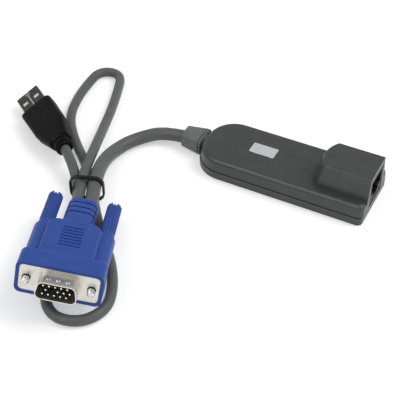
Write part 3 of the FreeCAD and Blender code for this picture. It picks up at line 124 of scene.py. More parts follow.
# ---------------------------------------------------------------- shader groups
class ShaderGroup:
    """Base of a node group with named inputs and outputs, built once."""

    name = "group"
    inputs: tuple[tuple[str, str, object], ...] = ()
    outputs: tuple[tuple[str, str], ...] = ()

    def __init__(self) -> None:
        """Makes the group, its sockets and its inner nodes."""
        self.tree = bpy.data.node_groups.new(self.name, "ShaderNodeTree")
        for label, kind, value in self.inputs:
            socket = self.tree.interface.new_socket(
                label, in_out="INPUT", socket_type=f"NodeSocket{kind}"
            )
            socket.default_value = value
        for label, kind in self.outputs:
            self.tree.interface.new_socket(
                label, in_out="OUTPUT", socket_type=f"NodeSocket{kind}"
            )
        self.enter = self.tree.nodes.new("NodeGroupInput")
        self.leave = self.tree.nodes.new("NodeGroupOutput")
        self.wire()

    def node(self, kind: str, **settings: object) -> bpy.types.Node:
        """Adds a node and sets its properties.

        Args:
            kind: Blender's name for the node type.
            **settings: The node's properties and their values.

        Returns:
            The new node.
        """
        made = self.tree.nodes.new(kind)
        for key, value in settings.items():
            setattr(made, key, value)
        return made

    def link(self, source: bpy.types.NodeSocket, target: bpy.types.NodeSocket) -> None:
        """Joins two sockets."""
        self.tree.links.new(source, target)

    def noise(self, scale: object, detail: float, rough: float = 0.5) -> bpy.types.Node:
        """Adds a noise on Object coordinates.

        Args:
            scale: Cells in a metre, a number or a socket.
            detail: How many finer layers lie on the first.
            rough: How strong the finer layers are.

        Returns:
            The noise node.
        """
        place = self.node("ShaderNodeTexCoord")
        noise = self.node("ShaderNodeTexNoise")
        noise.inputs["Detail"].default_value = detail
        noise.inputs["Roughness"].default_value = rough
        if isinstance(scale, bpy.types.NodeSocket):
            self.link(scale, noise.inputs["Scale"])
        else:
            noise.inputs["Scale"].default_value = scale
        self.link(place.outputs["Object"], noise.inputs["Vector"])
        return noise

    def relief(
        self,
        height: bpy.types.NodeSocket,
        strength: bpy.types.NodeSocket,
        distance: float,
        edge: float,
    ) -> bpy.types.NodeSocket:
        """Lays a bump on a normal whose sharp edges are rounded.

        Args:
            height: The bump's height, 0..1.
            strength: How strong the bump is.
            distance: The bump's full height in metres.
            edge: Radius of the rounded edges in metres.

        Returns:
            The normal.
        """
        eased = self.node("ShaderNodeBevel", samples=EDGE_SAMPLES)
        eased.inputs["Radius"].default_value = edge
        bump = self.node("ShaderNodeBump")
        bump.inputs["Distance"].default_value = distance
        self.link(strength, bump.inputs["Strength"])
        self.link(height, bump.inputs["Height"])
        self.link(eased.outputs["Normal"], bump.inputs["Normal"])
        return bump.outputs["Normal"]

    def spread(self, source: bpy.types.NodeSocket, low: object, high: object) -> bpy.types.Node:
        """Maps the middle of a noise's range to low..high.

        Args:
            source: The noise's value.
            low: Result at the low end, a number or a socket.
            high: Result at the high end, a number or a socket.

        Returns:
            The mapping node.
        """
        ramp = self.node("ShaderNodeMapRange")
        ramp.inputs["From Min"].default_value, ramp.inputs["From Max"].default_value = NOISE_MIDDLE
        for label, value in (("To Min", low), ("To Max", high)):
            if isinstance(value, bpy.types.NodeSocket):
                self.link(value, ramp.inputs[label])
            else:
                ramp.inputs[label].default_value = value
        self.link(source, ramp.inputs["Value"])
        return ramp

    def tint(
        self, mask: bpy.types.NodeSocket, low: bpy.types.NodeSocket, high: bpy.types.NodeSocket
    ) -> bpy.types.NodeSocket:
        """Mixes two colours by a mask.

        Args:
            mask: 0 for the low colour, 1 for the high one.
            low: A colour.
            high: A colour.

        Returns:
            The mixed colour.
        """
        mix = self.node("ShaderNodeMix", data_type="RGBA")
        self.link(mask, mix.inputs["Factor"])
        self.link(low, mix.inputs["A"])
        self.link(high, mix.inputs["B"])
        return mix.outputs["Result"]

    def wire(self) -> None:
        """Adds the inner nodes; each group has its own."""
        raise NotImplementedError


class MouldedGrain(ShaderGroup):
    """Spark-eroded grain of a moulded plastic, with a cloudy change of shade and of gloss."""

    name = "moulded_grain"
    inputs = (
        ("Shade", "Color", (0.1, 0.1, 0.1, 1.0)),
        ("Light Shade", "Color", (0.12, 0.12, 0.12, 1.0)),
        ("Gloss Low", "Float", 0.4),
        ("Gloss High", "Float", 0.55),
        ("Grain Scale", "Float", 2500.0),
        ("Grain Depth", "Float", 0.2),
    )
    outputs = (("Color", "Color"), ("Roughness", "Float"), ("Normal", "Vector"))
    cloud_scale = 160.0
    pit_height = 0.03 * MM
    edge_radius = 0.2 * MM

    def wire(self) -> None:
        """Fine noise drives the bump; coarse noise drives the shade and the gloss."""
        clouds = self.noise(self.cloud_scale, 3.0)
        pits = self.noise(self.enter.outputs["Grain Scale"], 4.0, 0.6)
        mask = self.spread(clouds.outputs["Fac"], 0.0, 1.0).outputs["Result"]
        colour = self.tint(mask, self.enter.outputs["Shade"], self.enter.outputs["Light Shade"])
        gloss = self.spread(
            pits.outputs["Fac"], self.enter.outputs["Gloss Low"], self.enter.outputs["Gloss High"]
        )
        normal = self.relief(
            pits.outputs["Fac"],
            self.enter.outputs["Grain Depth"],
            self.pit_height,
            self.edge_radius,
        )
        self.link(colour, self.leave.inputs["Color"])
        self.link(gloss.outputs["Result"], self.leave.inputs["Roughness"])
        self.link(normal, self.leave.inputs["Normal"])


class DrawnMetal(ShaderGroup):
    """Plated sheet: fine drawing lines along one direction and faint tarnish clouds."""

    name = "drawn_metal"
    inputs = (
        ("Shade", "Color", (0.6, 0.6, 0.6, 1.0)),
        ("Tarnish", "Color", (0.4, 0.38, 0.34, 1.0)),
        ("Gloss Low", "Float", 0.15),
        ("Gloss High", "Float", 0.3),
        ("Line Scale", "Vector", (200.0, 4000.0, 4000.0)),
        ("Line Depth", "Float", 0.1),
    )
    outputs = (("Color", "Color"), ("Roughness", "Float"), ("Normal", "Vector"))
    cloud_scale = 260.0
    tarnish_from = 0.55
    tarnish_full = 0.8
    line_height = 0.01 * MM
    edge_radius = 0.12 * MM

    def wire(self) -> None:
        """Noise stretched along the drawing direction gives the lines."""
        place = self.node("ShaderNodeTexCoord")
        stretch = self.node("ShaderNodeVectorMath", operation="MULTIPLY")
        lines = self.node("ShaderNodeTexNoise")
        lines.inputs["Scale"].default_value = 1.0
        lines.inputs["Detail"].default_value = 2.0
        self.link(place.outputs["Object"], stretch.inputs[0])
        self.link(self.enter.outputs["Line Scale"], stretch.inputs[1])
        self.link(stretch.outputs["Vector"], lines.inputs["Vector"])
        clouds = self.noise(self.cloud_scale, 4.0, 0.6)
        mask = self.node("ShaderNodeMapRange")
        mask.inputs["From Min"].default_value = self.tarnish_from
        mask.inputs["From Max"].default_value = self.tarnish_full
        self.link(clouds.outputs["Fac"], mask.inputs["Value"])
        colour = self.tint(
            mask.outputs["Result"], self.enter.outputs["Shade"], self.enter.outputs["Tarnish"]
        )
        gloss = self.spread(
            lines.outputs["Fac"], self.enter.outputs["Gloss Low"], self.enter.outputs["Gloss High"]
        )
        normal = self.relief(
            lines.outputs["Fac"],
            self.enter.outputs["Line Depth"],
            self.line_height,
            self.edge_radius,
        )
        self.link(colour, self.leave.inputs["Color"])
        self.link(gloss.outputs["Result"], self.leave.inputs["Roughness"])
        self.link(normal, self.leave.inputs["Normal"])


# ---------------------------------------------------------------- finishes
@dataclass(frozen=True)
class Finish:
    """What every finish has: its name, its two shades, its gloss and how metallic it is."""

    name: str
    shade: Colour
    light: Colour
    gloss: tuple[float, float] = (0.4, 0.55)
    metallic: float = 0.0

    def group_name(self) -> str:
        """The shader group that the finish places."""
        return MouldedGrain.name

    def values(self) -> dict[str, object]:
        """The values that the finish gives to its group, by the name of the input."""
        return {
            "Shade": (*self.shade, 1.0),
            "Gloss Low": self.gloss[0],
            "Gloss High": self.gloss[1],
        }

    def dress(self, shader: bpy.types.Node, tree: bpy.types.NodeTree) -> None:
        """Sets what is the same all over, on the shader's own sockets.

        Args:
            shader: The material's shader.
            tree: The material's nodes.
        """
        shader.inputs["Metallic"].default_value = self.metallic

    def material(self) -> bpy.types.Material:
        """Builds the nodes once, in the model's own material of that name where it has one.

        Returns:
            The material with this finish's name.
        """
        made = bpy.data.materials.get(self.name) or bpy.data.materials.new(self.name)
        made.use_nodes = True
        tree = made.node_tree
        if any(node.type == "GROUP" for node in tree.nodes):
            return made
        shader = next(node for node in tree.nodes if node.type == "BSDF_PRINCIPLED")
        group = tree.nodes.new("ShaderNodeGroup")
        group.node_tree = bpy.data.node_groups[self.group_name()]
        for label, value in self.values().items():
            group.inputs[label].default_value = value
        tree.links.new(group.outputs["Color"], shader.inputs["Base Color"])
        tree.links.new(group.outputs["Roughness"], shader.inputs["Roughness"])
        tree.links.new(group.outputs["Normal"], shader.inputs["Normal"])
        made.diffuse_color = (*self.shade, 1.0)
        self.dress(shader, tree)
        return made


@dataclass(frozen=True)
class Moulded(Finish):
    """A moulded plastic or rubber with a grain."""

    grain_scale: float = 2600.0
    grain_depth: float = 0.25
    specular: float = 0.25

    def values(self) -> dict[str, object]:
        """Adds the grain to the common values."""
        return super().values() | {
            "Light Shade": (*self.light, 1.0),
            "Grain Scale": self.grain_scale,
            "Grain Depth": self.grain_depth,
        }

    def dress(self, shader: bpy.types.Node, tree: bpy.types.NodeTree) -> None:
        """Sets the strength of the plain reflection as well."""
        super().dress(shader, tree)
        shader.inputs["Specular IOR Level"].default_value = self.specular


@dataclass(frozen=True)
class Plated(Finish):
    """A plated or bright sheet metal with drawing lines."""

    metallic: float = 1.0
    line_scale: Point = (200.0, 4000.0, 4000.0)
    line_depth: float = 0.1

    def group_name(self) -> str:
        """Plated finishes place the drawn metal group."""
        return DrawnMetal.name

    def values(self) -> dict[str, object]:
        """Adds the tarnish and the lines to the common values."""
        return super().values() | {
            "Tarnish": (*self.light, 1.0),
            "Line Scale": self.line_scale,
            "Line Depth": self.line_depth,
        }


@dataclass(frozen=True)
class SeamedShell(Plated):
    """Folded plug shell with a fine seam and a dovetail, and a painted highlight: a bright line
    along the seam.
    """

    origin: Point = (0.0, 0.0, 0.0)
    turn: Point = (0.0, 0.0, 0.0)
    seam_width: float = 0.4 * MM
    dovetail_at: float = 10.0 * MM
    dovetail_size: float = 1.1 * MM
    # painted highlight: the bright colour laid along the seam line
    seam_highlight: Colour = (0.8, 0.79, 0.76)

    def dress(self, shader: bpy.types.Node, tree: bpy.types.NodeTree) -> None:
        """Paints a highlight on the seam: a bright line at x = 0 that steps aside round a
        diamond-shaped tab.

        In the plug's own frame the line's distance is the width that |x| has left after the
        tab: | |x| - max(0, size - |z - place|) |, and the painted highlight lies where that is
        under half the seam's width.

        Args:
            shader: The material's shader.
            tree: The material's nodes.
        """
        super().dress(shader, tree)
        add = tree.nodes.new

        def maths(operation: str, first: object, second: object) -> bpy.types.NodeSocket:
            """Adds one arithmetic node.

            Args:
                operation: Blender's name for the operation.
                first: A number or a socket.
                second: A number or a socket.

            Returns:
                The node's result.
            """
            node = add("ShaderNodeMath")
            node.operation = operation
            for slot, value in zip(node.inputs, (first, second)):
                if isinstance(value, bpy.types.NodeSocket):
                    tree.links.new(value, slot)
                else:
                    slot.default_value = value
            return node.outputs["Value"]

        place, local, parts = (
            add("ShaderNodeTexCoord"),
            add("ShaderNodeMapping"),
            add("ShaderNodeSeparateXYZ"),
        )
        local.vector_type = "TEXTURE"
        local.inputs["Location"].default_value = self.origin
        local.inputs["Rotation"].default_value = self.turn
        tree.links.new(place.outputs["Object"], local.inputs["Vector"])
        tree.links.new(local.outputs["Vector"], parts.inputs["Vector"])
        aside = maths("ABSOLUTE", parts.outputs["X"], 0.0)
        along = maths("ABSOLUTE", maths("SUBTRACT", parts.outputs["Z"], self.dovetail_at), 0.0)
        tab = maths("MAXIMUM", maths("SUBTRACT", self.dovetail_size, along), 0.0)
        off = maths("ABSOLUTE", maths("SUBTRACT", aside, tab), 0.0)
        # mask of the painted highlight: 1 on the seam line, 0 elsewhere
        seam = maths("LESS_THAN", off, self.seam_width / 2)
        mix = add("ShaderNodeMix")
        mix.data_type = "RGBA"
        mix.inputs["B"].default_value = (*self.seam_highlight, 1.0)
        source = shader.inputs["Base Color"].links[0].from_socket
        tree.links.new(source, mix.inputs["A"])
        tree.links.new(seam, mix.inputs["Factor"])
        tree.links.new(mix.outputs["Result"], shader.inputs["Base Color"])


# ---------------------------------------------------------------- sub-assemblies
@dataclass
class SubAssembly:
    """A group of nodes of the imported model, each with its finish."""

    finishes: dict[str, Finish] = field(default_factory=dict)

    def dress(self) -> None:
        """Gives each node of the group its material and reports it."""
        for node, finish in self.finishes.items():
            target = frame["nodes"][node]
            target.data.materials.clear()
            target.data.materials.append(finish.material())
            log.info("dressed %s as %s", node, finish.name)

    def build(self) -> None:
        """Makes the group's own pieces; a group with none makes nothing."""


@dataclass
class Case(SubAssembly):
    """Two covers, the badge on the upper one, the network socket and the board."""

    badge_centre: tuple[float, float] = (-12.1 * MM, 0.95 * MM)
    badge_size: tuple[float, float] = (11.8 * MM, 6.5 * MM)
    badge_thick: float = 0.3 * MM
    badge_corner: float = 0.7 * MM
    badge_bevel: float = 0.12 * MM
    badge_sink: float = 0.05 * MM
    badge_flat_from: float = 0.4 * MM
    badge_least_corner: float = 0.15 * MM
    deck_height: float = 9.7 * MM

    def badge_rings(self) -> np.ndarray:
        """Rings from the badge's foot over its bevelled edge to its flat top.

        Each ring is the rounded outline, drawn in by an inset and raised to a height; the
        inset follows a quarter circle over the bevel.

        Returns:
            Points shaped (rings, points in a ring, 3), in metres.
        """
        turn = np.linspace(0.0, math.pi / 2, 5)
        inset = np.concatenate(
            [[0.0], self.badge_bevel * (1 - np.cos(turn)), [self.badge_flat_from]]
        )
        rise = np.concatenate(
            [
                [-self.badge_sink],
                self.badge_thick - self.badge_bevel * (1 - np.sin(turn)),
                [self.badge_thick],
            ]
        )
        rings = []
        for step, height in zip(inset, rise):
            outline = rounded_outline(
                self.badge_size[0] - 2 * step,
                self.badge_size[1] - 2 * step,
                max(self.badge_corner - step, self.badge_least_corner),
                steps=7,
            )
            level = np.full((len(outline), 1), self.deck_height + height)
            rings.append(np.hstack([outline + np.array(self.badge_centre), level]))
        return np.array(rings)

    def build(self) -> None:
        """Makes the bare metal badge and rides it on the case."""
        badge = skin("badge_plate", self.badge_rings())
        badge.data.materials.append(BADGE_METAL.material())
        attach(badge, "adapter")
        log.info("made %s", badge.name)


@dataclass
class VideoPlug(SubAssembly):
    """Blue hood with its neck, the nickel shell, the pins and the two thumbscrews."""

    thread_root: float = 1.38 * MM
    thread_crest: float = 1.60 * MM
    thread_pitch: float = 0.635 * MM
    thread_span: tuple[float, float] = (0.65 * MM, 2.3 * MM)
    thread_sink: float = 0.08 * MM
    thread_foot: float = 0.42
    thread_steps: int = 48
    thread_least: float = 0.02

    def thread_rings(self, origin: Vector, axis: Vector) -> np.ndarray:
        """Rings along a screw thread: a triangle carried round and along the screw's axis.

        The angle grows evenly and the height along the axis by one pitch each turn; the crest
        sinks to the root over the first and the last quarter turn.

        Args:
            origin: The screw's place where the thread's span is measured from.
            axis: The way that the screw's free end points.

        Returns:
            Points shaped (rings, 3, 3), in metres.
        """
        start, stop = self.thread_span
        turns = (stop - start) / self.thread_pitch
        share = np.linspace(0.0, 1.0, int(turns * self.thread_steps))
        angle = share * turns * 2 * math.pi
        fade = np.clip(np.minimum(share, 1 - share) * turns * 4, self.thread_least, 1.0)
        crest = self.thread_root + (self.thread_crest - self.thread_root) * fade
        inner = np.full_like(crest, self.thread_root - self.thread_sink)
        radius = np.stack([inner, crest, inner], axis=1)
        shift = np.array([-1.0, 0.0, 1.0]) * self.thread_foot * self.thread_pitch
        height = (start + share * (stop - start))[:, None] + shift[None, :]
        across, upward, along = basis_about(axis)
        return (
            np.array(origin)
            + radius[..., None] * np.cos(angle)[:, None, None] * across
            + radius[..., None] * np.sin(angle)[:, None, None] * upward
            + height[..., None] * along
        )

    def build(self) -> None:
        """Makes a thread on the free end of each jackscrew."""
        for joint in frame["joints"]:
            origin, axis = Vector(joint["pos_m"]), Vector(joint["axis"])
            thread = skin(f"{joint['child']}_thread", self.thread_rings(origin, axis))
            thread.data.materials.append(JACK_STEEL.material())
            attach(thread, joint["child"])
            log.info("made %s", thread.name)


@dataclass
class UsbPlug(SubAssembly):
    """Black grip with its ringed relief, the folded steel shell, the tongue and contacts."""


@dataclass
class Cable:
    """One cable: the route's points in metres, its size and what it carries."""

    name: str
    route: list[Point]
    diameter: float
    exit: Point
    length: float
    with_nodes: list[str]
    round_steps: int = 7
    run_steps: int = 14

    def build(self) -> None:
        curve = bpy.data.curves.new(self.name, "CURVE")
        curve.dimensions = "3D"
        curve.bevel_depth = self.diameter / 2
        curve.bevel_resolution = self.round_steps
        curve.resolution_u = self.run_steps
        curve.use_fill_caps = True
        line = curve.splines.new("NURBS")
        line.points.add(len(self.route) - 1)
        for point, place in zip(line.points, self.route):
            point.co = (*place, 1.0)
        line.order_u = 3
        line.use_endpoint_u = True
        curve.materials.append(CABLE_SHEATH.material())
        piece = bpy.data.objects.new(self.name, curve)
        bpy.context.scene.collection.objects.link(piece)
        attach(piece, "adapter")
        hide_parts(self.name.replace("_line", ""))
        log.info("laid %s", self.name)


@dataclass
class PlugPlace:
    """Where a plug lies: its origin in metres and its yaw, pitch and roll in degrees."""

    origin: Point
    angles: tuple[float, float, float]

    def point(self, x: float, z: float) -> Point:
        """A point of the plug's own frame, in the model's frame.

        Args:
            x: Aside from the plug's middle, in metres.
            z: Towards the plug's nose, in metres.

        Returns:
            The point in metres.
        """
        return tuple(Vector(self.origin) + self.turn().to_matrix() @ Vector((x, 0.0, z)))

    def turn(self) -> Euler:
        """The plug's turn as Blender's own angles."""
        yaw, pitch, roll = (math.radians(angle) for angle in self.angles)
        return Euler((roll, pitch, yaw), "XYZ")


VIDEO = PlugPlace((-45.43 * MM, -112.89 * MM, 16.53 * MM), (20.21, 9.63, 81.8))
USB = PlugPlace((-120.97 * MM, -15.27 * MM, 6.95 * MM), (-124.46, 28.28, 93.48))

CASE_PLASTIC = Moulded(
    "case_plastic",
    (0.05, 0.054, 0.052),
    (0.058, 0.062, 0.06),
    (0.3, 0.42),
    grain_depth=0.22,
    specular=0.5,
)
BOOT_RUBBER = Moulded(
    "boot_rubber", (0.15, 0.156, 0.152), (0.17, 0.176, 0.172), (0.4, 0.55), grain_depth=0.15
)
CABLE_SHEATH = Moulded(
    "cable_sheath",
    (0.12, 0.126, 0.123),
    (0.14, 0.146, 0.142),
    (0.34, 0.46),
    grain_scale=900.0,
    grain_depth=0.12,
)
TIE_BLACK = Moulded("tie_black", (0.008, 0.008, 0.008), (0.014, 0.014, 0.014), (0.3, 0.45))
HOOD_BLUE = Moulded(
    "hood_blue", (0.027, 0.077, 0.35), (0.032, 0.087, 0.38), (0.34, 0.5), grain_depth=0.2
)
GRIP_BLACK = Moulded(
    "grip_black",
    (0.005, 0.005, 0.0055),
    (0.008, 0.008, 0.0085),
    (0.45, 0.65),
    grain_scale=1300.0,
    grain_depth=0.5,
    specular=0.1,
)
CORE_BLACK = Moulded("core_black", (0.009, 0.009, 0.01), (0.013, 0.013, 0.014), (0.35, 0.5))
SOCKET_BLACK = Moulded("socket_plastic", (0.012, 0.012, 0.012), (0.018, 0.018, 0.018))
TONGUE_WHITE = Moulded("tongue_white", (0.8, 0.8, 0.77), (0.86, 0.86, 0.83), (0.35, 0.5))
BOARD_GREEN = Moulded("board_laminate", (0.01, 0.1, 0.035), (0.015, 0.13, 0.05), (0.25, 0.4))
CHIP_RESIN = Moulded("chip_resin", (0.012, 0.012, 0.013), (0.02, 0.02, 0.02), (0.5, 0.7))
HEADER_CREAM = Moulded("header_plastic", (0.62, 0.58, 0.47), (0.68, 0.64, 0.53), (0.35, 0.5))
SHELL_NICKEL = Plated("shell_nickel", (0.7, 0.68, 0.63), (0.5, 0.46, 0.4), (0.3, 0.44))
SHIELD_TIN = Plated("shield_steel", (0.72, 0.72, 0.71), (0.5, 0.5, 0.48), (0.2, 0.34))
BADGE_METAL = Plated(
    "badge_metal",
    (0.74, 0.75, 0.76),
    (0.68, 0.69, 0.7),
    (0.3, 0.42),
    metallic=0.4,
    line_scale=(300.0, 5200.0, 5200.0),
)
JACK_STEEL = Plated("jack_steel", (0.7, 0.69, 0.66), (0.42, 0.4, 0.36), (0.16, 0.3))
CAN_METAL = Plated("can_metal", (0.7, 0.7, 0.7), (0.55, 0.55, 0.55), (0.25, 0.4))
CONTACT_GOLD = Plated("contact_gold", (0.86, 0.66, 0.3), (0.7, 0.5, 0.2), (0.14, 0.25))
PIN_NICKEL = Plated("pin_nickel", (0.86, 0.82, 0.7), (0.7, 0.62, 0.45), (0.12, 0.22))
USB_STEEL = SeamedShell(
    "usb_steel",
    (0.085, 0.083, 0.08),
    (0.12, 0.117, 0.11),
    (0.2, 0.34),
    origin=USB.origin,
    turn=tuple(USB.turn()),
)


def case() -> Case:
    """The case with the finish of each of its nodes, not yet dressed."""
    return Case(
        {
            "upper_cover": CASE_PLASTIC,
            "lower_cover": CASE_PLASTIC,
            "circuit_board": BOARD_GREEN,
            "controller_chip": CHIP_RESIN,
            "video_buffer": CHIP_RESIN,
            "clock_crystal": CAN_METAL,
            "board_capacitors": CAN_METAL,
            "cable_header": HEADER_CREAM,
            "socket_body": SOCKET_BLACK,
            "socket_shield": SHIELD_TIN,
            "socket_contacts": CONTACT_GOLD,
            "cable_boot": BOOT_RUBBER,
            "cable_tie": TIE_BLACK,
        }
    )


def video_plug() -> VideoPlug:
    """The video plug with the finish of each of its nodes, not yet dressed."""
    return VideoPlug(
        {
            "video_hood": HOOD_BLUE,
            "left_knob": HOOD_BLUE,
            "right_knob": HOOD_BLUE,
            "video_shell": SHELL_NICKEL,
            "video_insulator": CORE_BLACK,
            "video_pins": PIN_NICKEL,
            "left_jackscrew": JACK_STEEL,
            "right_jackscrew": JACK_STEEL,
        }
    )


def usb_plug() -> UsbPlug:
    """The USB plug with the finish of each of its nodes, not yet dressed."""
    return UsbPlug(
        {
            "usb_grip": GRIP_BLACK,
            "usb_shell": USB_STEEL,
            "usb_tongue": TONGUE_WHITE,
            "usb_contacts": CONTACT_GOLD,
        }
    )


def millimetres(*points: Point) -> list[Point]:
    """Points in metres.

    Args:
        *points: The same points in millimetres.

    Returns:
        The points, in the same order.
    """
    return [tuple(value * MM for value in point) for point in points]


def video_cable() -> Cable:
    """The thick cable, from the boot at the case to the video plug's neck.

    Returns:
        The cable, not yet laid.
    """
    bore = 2.4 * MM
    return Cable(
        "video_cable_line",
        [
            *millimetres(
                (-38.9, 0.0, 4.85),
                (-59.0, 0.0, 4.85),
                (-71.5, -11.5, 3.4),
                (-75.2, -23.0, 3.7),
                (-73.7, -35.4, 6.7),
                (-68.9, -48.5, 8.9),
            ),
            VIDEO.point(bore, -57.3 * MM),
            VIDEO.point(bore, -44.5 * MM),
        ],
        6.0 * MM,
        (-50.6 * MM, 0.0, 4.85 * MM),
        0.099,
        [
            "cable_boot",
            "video_hood",
            "video_shell",
            "video_insulator",
            "video_pins",
            "left_knob",
            "left_jackscrew",
            "right_knob",
            "right_jackscrew",
        ],
    )


def usb_cable() -> Cable:
    """The thin cable: round the back loop and the front loop, then to the USB plug.

    It leaves the neck, passes under the plug and comes back through the tie.

    Returns:
        The cable, not yet laid.
    """
    bore = -3.2 * MM
    return Cable(
        "usb_cable_line",
        [
            VIDEO.point(bore, -44.5 * MM),
            VIDEO.point(bore, -57.3 * MM),
            *millimetres(
                (-75.7, -47.4, 8.5),
                (-80.9, -31.2, 7.2),
                (-87.3, -13.0, 3.5),
                (-92.6, 4.5, 2.25),
                (-97.8, 19.5, 2.25),
                (-101.5, 28.7, 2.25),
                (-105.9, 31.1, 2.25),
                (-110.7, 30.2, 2.25),
                (-113.8, 26.4, 2.25),
                (-113.6, 19.0, 2.25),
                (-112.2, 6.0, 2.25),
                (-107.5, -9.5, 2.25),
                (-95.8, -23.5, 2.25),
                (-80.1, -37.2, 2.25),
                (-67.3, -54.0, 3.35),
                (-56.3, -67.6, 2.25),
                (-41.5, -82.5, 2.25),
                (-33.0, -95.5, 2.25),
                (-30.2, -106.0, 2.25),
                (-35.5, -115.5, 2.25),
                (-46.5, -118.2, 2.25),
                (-55.8, -110.5, 2.25),
                (-64.0, -87.0, 2.25),
                (-69.4, -67.0, 2.25),
                (-74.6, -53.2, 3.55),
            ),
            USB.point(0.0, -42.1 * MM),
            USB.point(0.0, -29.3 * MM),
        ],
        4.5 * MM,
        VIDEO.point(bore, -51.5 * MM),
        0.408,
        ["cable_tie", "usb_grip", "usb_shell", "usb_tongue", "usb_contacts"],
    )


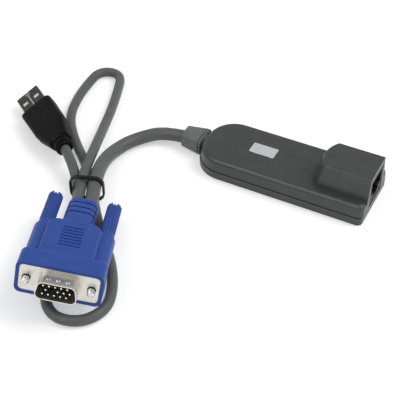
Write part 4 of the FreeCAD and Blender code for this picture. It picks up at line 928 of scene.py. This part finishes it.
# ---------------------------------------------------------------- studio
@dataclass
class Studio:
    """Camera, pale floor, soft lamps and a pale surround."""

    sensor: float = 36.0
    near: float = 0.01
    far: float = 50.0
    eye: Point = (121.28 * MM, -324.54 * MM, 300.04 * MM)
    target: Point = (-27.44 * MM, -31.15 * MM, 0.0)
    focal: float = 92.59
    floor_size: float = 8.0
    floor_white: float = 0.86
    floor_rough: float = 0.9
    floor_specular: float = 0.1
    floor_lift: float = 0.42
    ambient: float = 0.46
    overhead: float = 0.35
    overhead_from: float = 0.75
    softbox_at: Point = (-0.33, -0.46, 0.82)
    softbox_edge: float = 0.86
    softbox_glow: float = 2.5
    lamp_target: Point = (-0.03, -0.03, 0.0)

    def camera(self) -> None:
        """Sets the camera at the eye, level, looking at the target."""
        lens = bpy.data.cameras.new("camera")
        lens.lens = self.focal
        lens.sensor_width = self.sensor
        lens.clip_start = self.near
        lens.clip_end = self.far
        view = bpy.data.objects.new("camera", lens)
        view.location = self.eye
        look = Vector(self.target) - Vector(self.eye)
        view.rotation_euler = look.to_track_quat("-Z", "Y").to_euler()
        bpy.context.scene.collection.objects.link(view)
        bpy.context.scene.camera = view

    def seen(self, tree: bpy.types.NodeTree) -> bpy.types.NodeSocket:
        """A value that is 1 for camera, glossy and transmitted rays and 0 for others.

        Args:
            tree: The nodes that the value is added to.

        Returns:
            The value.
        """
        path = tree.nodes.new("ShaderNodeLightPath")
        total = path.outputs["Is Camera Ray"]
        for label in ("Is Glossy Ray", "Is Transmission Ray"):
            most = tree.nodes.new("ShaderNodeMath")
            most.operation = "MAXIMUM"
            tree.links.new(total, most.inputs[0])
            tree.links.new(path.outputs[label], most.inputs[1])
            total = most.outputs["Value"]
        return total

    def between(
        self, tree: bpy.types.NodeTree, mask: bpy.types.NodeSocket, low: object, high: object
    ) -> bpy.types.NodeSocket:
        """Maps a mask of 0..1 to low..high.

        Args:
            tree: The nodes that the mapping is added to.
            mask: The mask.
            low: Result at 0, a number or a socket.
            high: Result at 1, a number or a socket.

        Returns:
            The mapped value.
        """
        spread = tree.nodes.new("ShaderNodeMapRange")
        for label, value in (("To Min", low), ("To Max", high)):
            if isinstance(value, bpy.types.NodeSocket):
                tree.links.new(value, spread.inputs[label])
            else:
                spread.inputs[label].default_value = value
        tree.links.new(mask, spread.inputs["Value"])
        return spread.outputs["Result"]

    def floor(self) -> None:
        """Lays a white floor that keeps the soft shadow."""
        half = self.floor_size / 2
        mesh = bpy.data.meshes.new("floor")
        corners = [(-half, -half, 0), (half, -half, 0), (half, half, 0), (-half, half, 0)]
        mesh.from_pydata(corners, [], [(0, 1, 2, 3)])
        ground = bpy.data.objects.new("floor", mesh)
        bpy.context.scene.collection.objects.link(ground)
        paint = bpy.data.materials.new("floor_white")
        paint.use_nodes = True
        tree = paint.node_tree
        shader = tree.nodes["Principled BSDF"]
        shader.inputs["Base Color"].default_value = (*[self.floor_white] * 3, 1.0)
        shader.inputs["Roughness"].default_value = self.floor_rough
        shader.inputs["Specular IOR Level"].default_value = self.floor_specular
        shader.inputs["Emission Color"].default_value = (1.0, 1.0, 1.0, 1.0)
        glow = self.between(tree, self.seen(tree), 0.0, self.floor_lift)
        tree.links.new(glow, shader.inputs["Emission Strength"])
        mesh.materials.append(paint)

    def surround(self) -> None:
        """Sets a pale world: white to the camera, and to mirrors white low down, grey overhead.

        For a mirrored ray the strength falls from 1 at the horizon to `overhead` at the height
        where the direction's Z reaches `overhead_from`. A softbox that only mirrors see adds
        its glow where the direction's dot product with `softbox_at` passes `softbox_edge`.
        """
        world = bpy.data.worlds.new("surround")
        world.use_nodes = True
        tree = world.node_tree
        back = tree.nodes["Background"]
        back.inputs["Color"].default_value = (1.0, 1.0, 1.0, 1.0)
        place = tree.nodes.new("ShaderNodeTexCoord")
        parts = tree.nodes.new("ShaderNodeSeparateXYZ")
        fall = tree.nodes.new("ShaderNodeMapRange")
        fall.inputs["From Max"].default_value = self.overhead_from
        fall.inputs["To Min"].default_value = 1.0
        fall.inputs["To Max"].default_value = self.overhead
        tree.links.new(place.outputs["Generated"], parts.inputs["Vector"])
        tree.links.new(parts.outputs["Z"], fall.inputs["Value"])
        facing = tree.nodes.new("ShaderNodeVectorMath")
        facing.operation = "DOT_PRODUCT"
        facing.inputs[1].default_value = Vector(self.softbox_at).normalized()
        tree.links.new(place.outputs["Generated"], facing.inputs[0])
        box = tree.nodes.new("ShaderNodeMapRange")
        box.interpolation_type = "SMOOTHSTEP"
        box.inputs["From Min"].default_value = self.softbox_edge
        box.inputs["To Max"].default_value = self.softbox_glow
        tree.links.new(facing.outputs["Value"], box.inputs["Value"])
        lit = tree.nodes.new("ShaderNodeMath")
        tree.links.new(fall.outputs["Result"], lit.inputs[0])
        tree.links.new(box.outputs["Result"], lit.inputs[1])
        path = tree.nodes.new("ShaderNodeLightPath")
        mirrored = self.between(tree, path.outputs["Is Camera Ray"], lit.outputs["Value"], 1.0)
        strength = self.between(tree, self.seen(tree), self.ambient, mirrored)
        tree.links.new(strength, back.inputs["Strength"])
        bpy.context.scene.world = world

    def lamp(self, name: str, place: Point, size: float, power: float) -> None:
        """Adds a square soft lamp that looks at the object's middle.

        Args:
            name: The lamp's name.
            place: Where it hangs, in metres.
            size: Its side in metres.
            power: Its power in watts.
        """
        light = bpy.data.lights.new(name, "AREA")
        light.size = size
        light.energy = power
        stand = bpy.data.objects.new(name, light)
        stand.location = place
        aim = Vector(self.lamp_target) - Vector(place)
        stand.rotation_euler = aim.to_track_quat("-Z", "Y").to_euler()
        bpy.context.scene.collection.objects.link(stand)

    def build(self) -> None:
        """Builds the whole studio."""
        self.camera()
        self.floor()
        self.surround()
        self.lamp("key", (0.5, 0.3, 0.85), 0.6, 4.6)
        self.lamp("fill", (-0.5, -0.6, 0.7), 0.9, 1.2)
        bpy.context.scene.view_settings.view_transform = "Standard"
        log.info("studio built")


def main() -> None:
    """Builds the studio, the cables and the sub-assemblies, in that order."""
    logging.basicConfig(level=logging.INFO, format="%(name)s: %(message)s")
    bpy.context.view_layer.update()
    Studio().build()
    for group in (MouldedGrain, DrawnMetal):
        group()
    for cable in (video_cable(), usb_cable()):
        cable.build()
    for part in (case(), video_plug(), usb_plug()):
        part.dress()
        part.build()


if __name__ == "__main__":
    main()
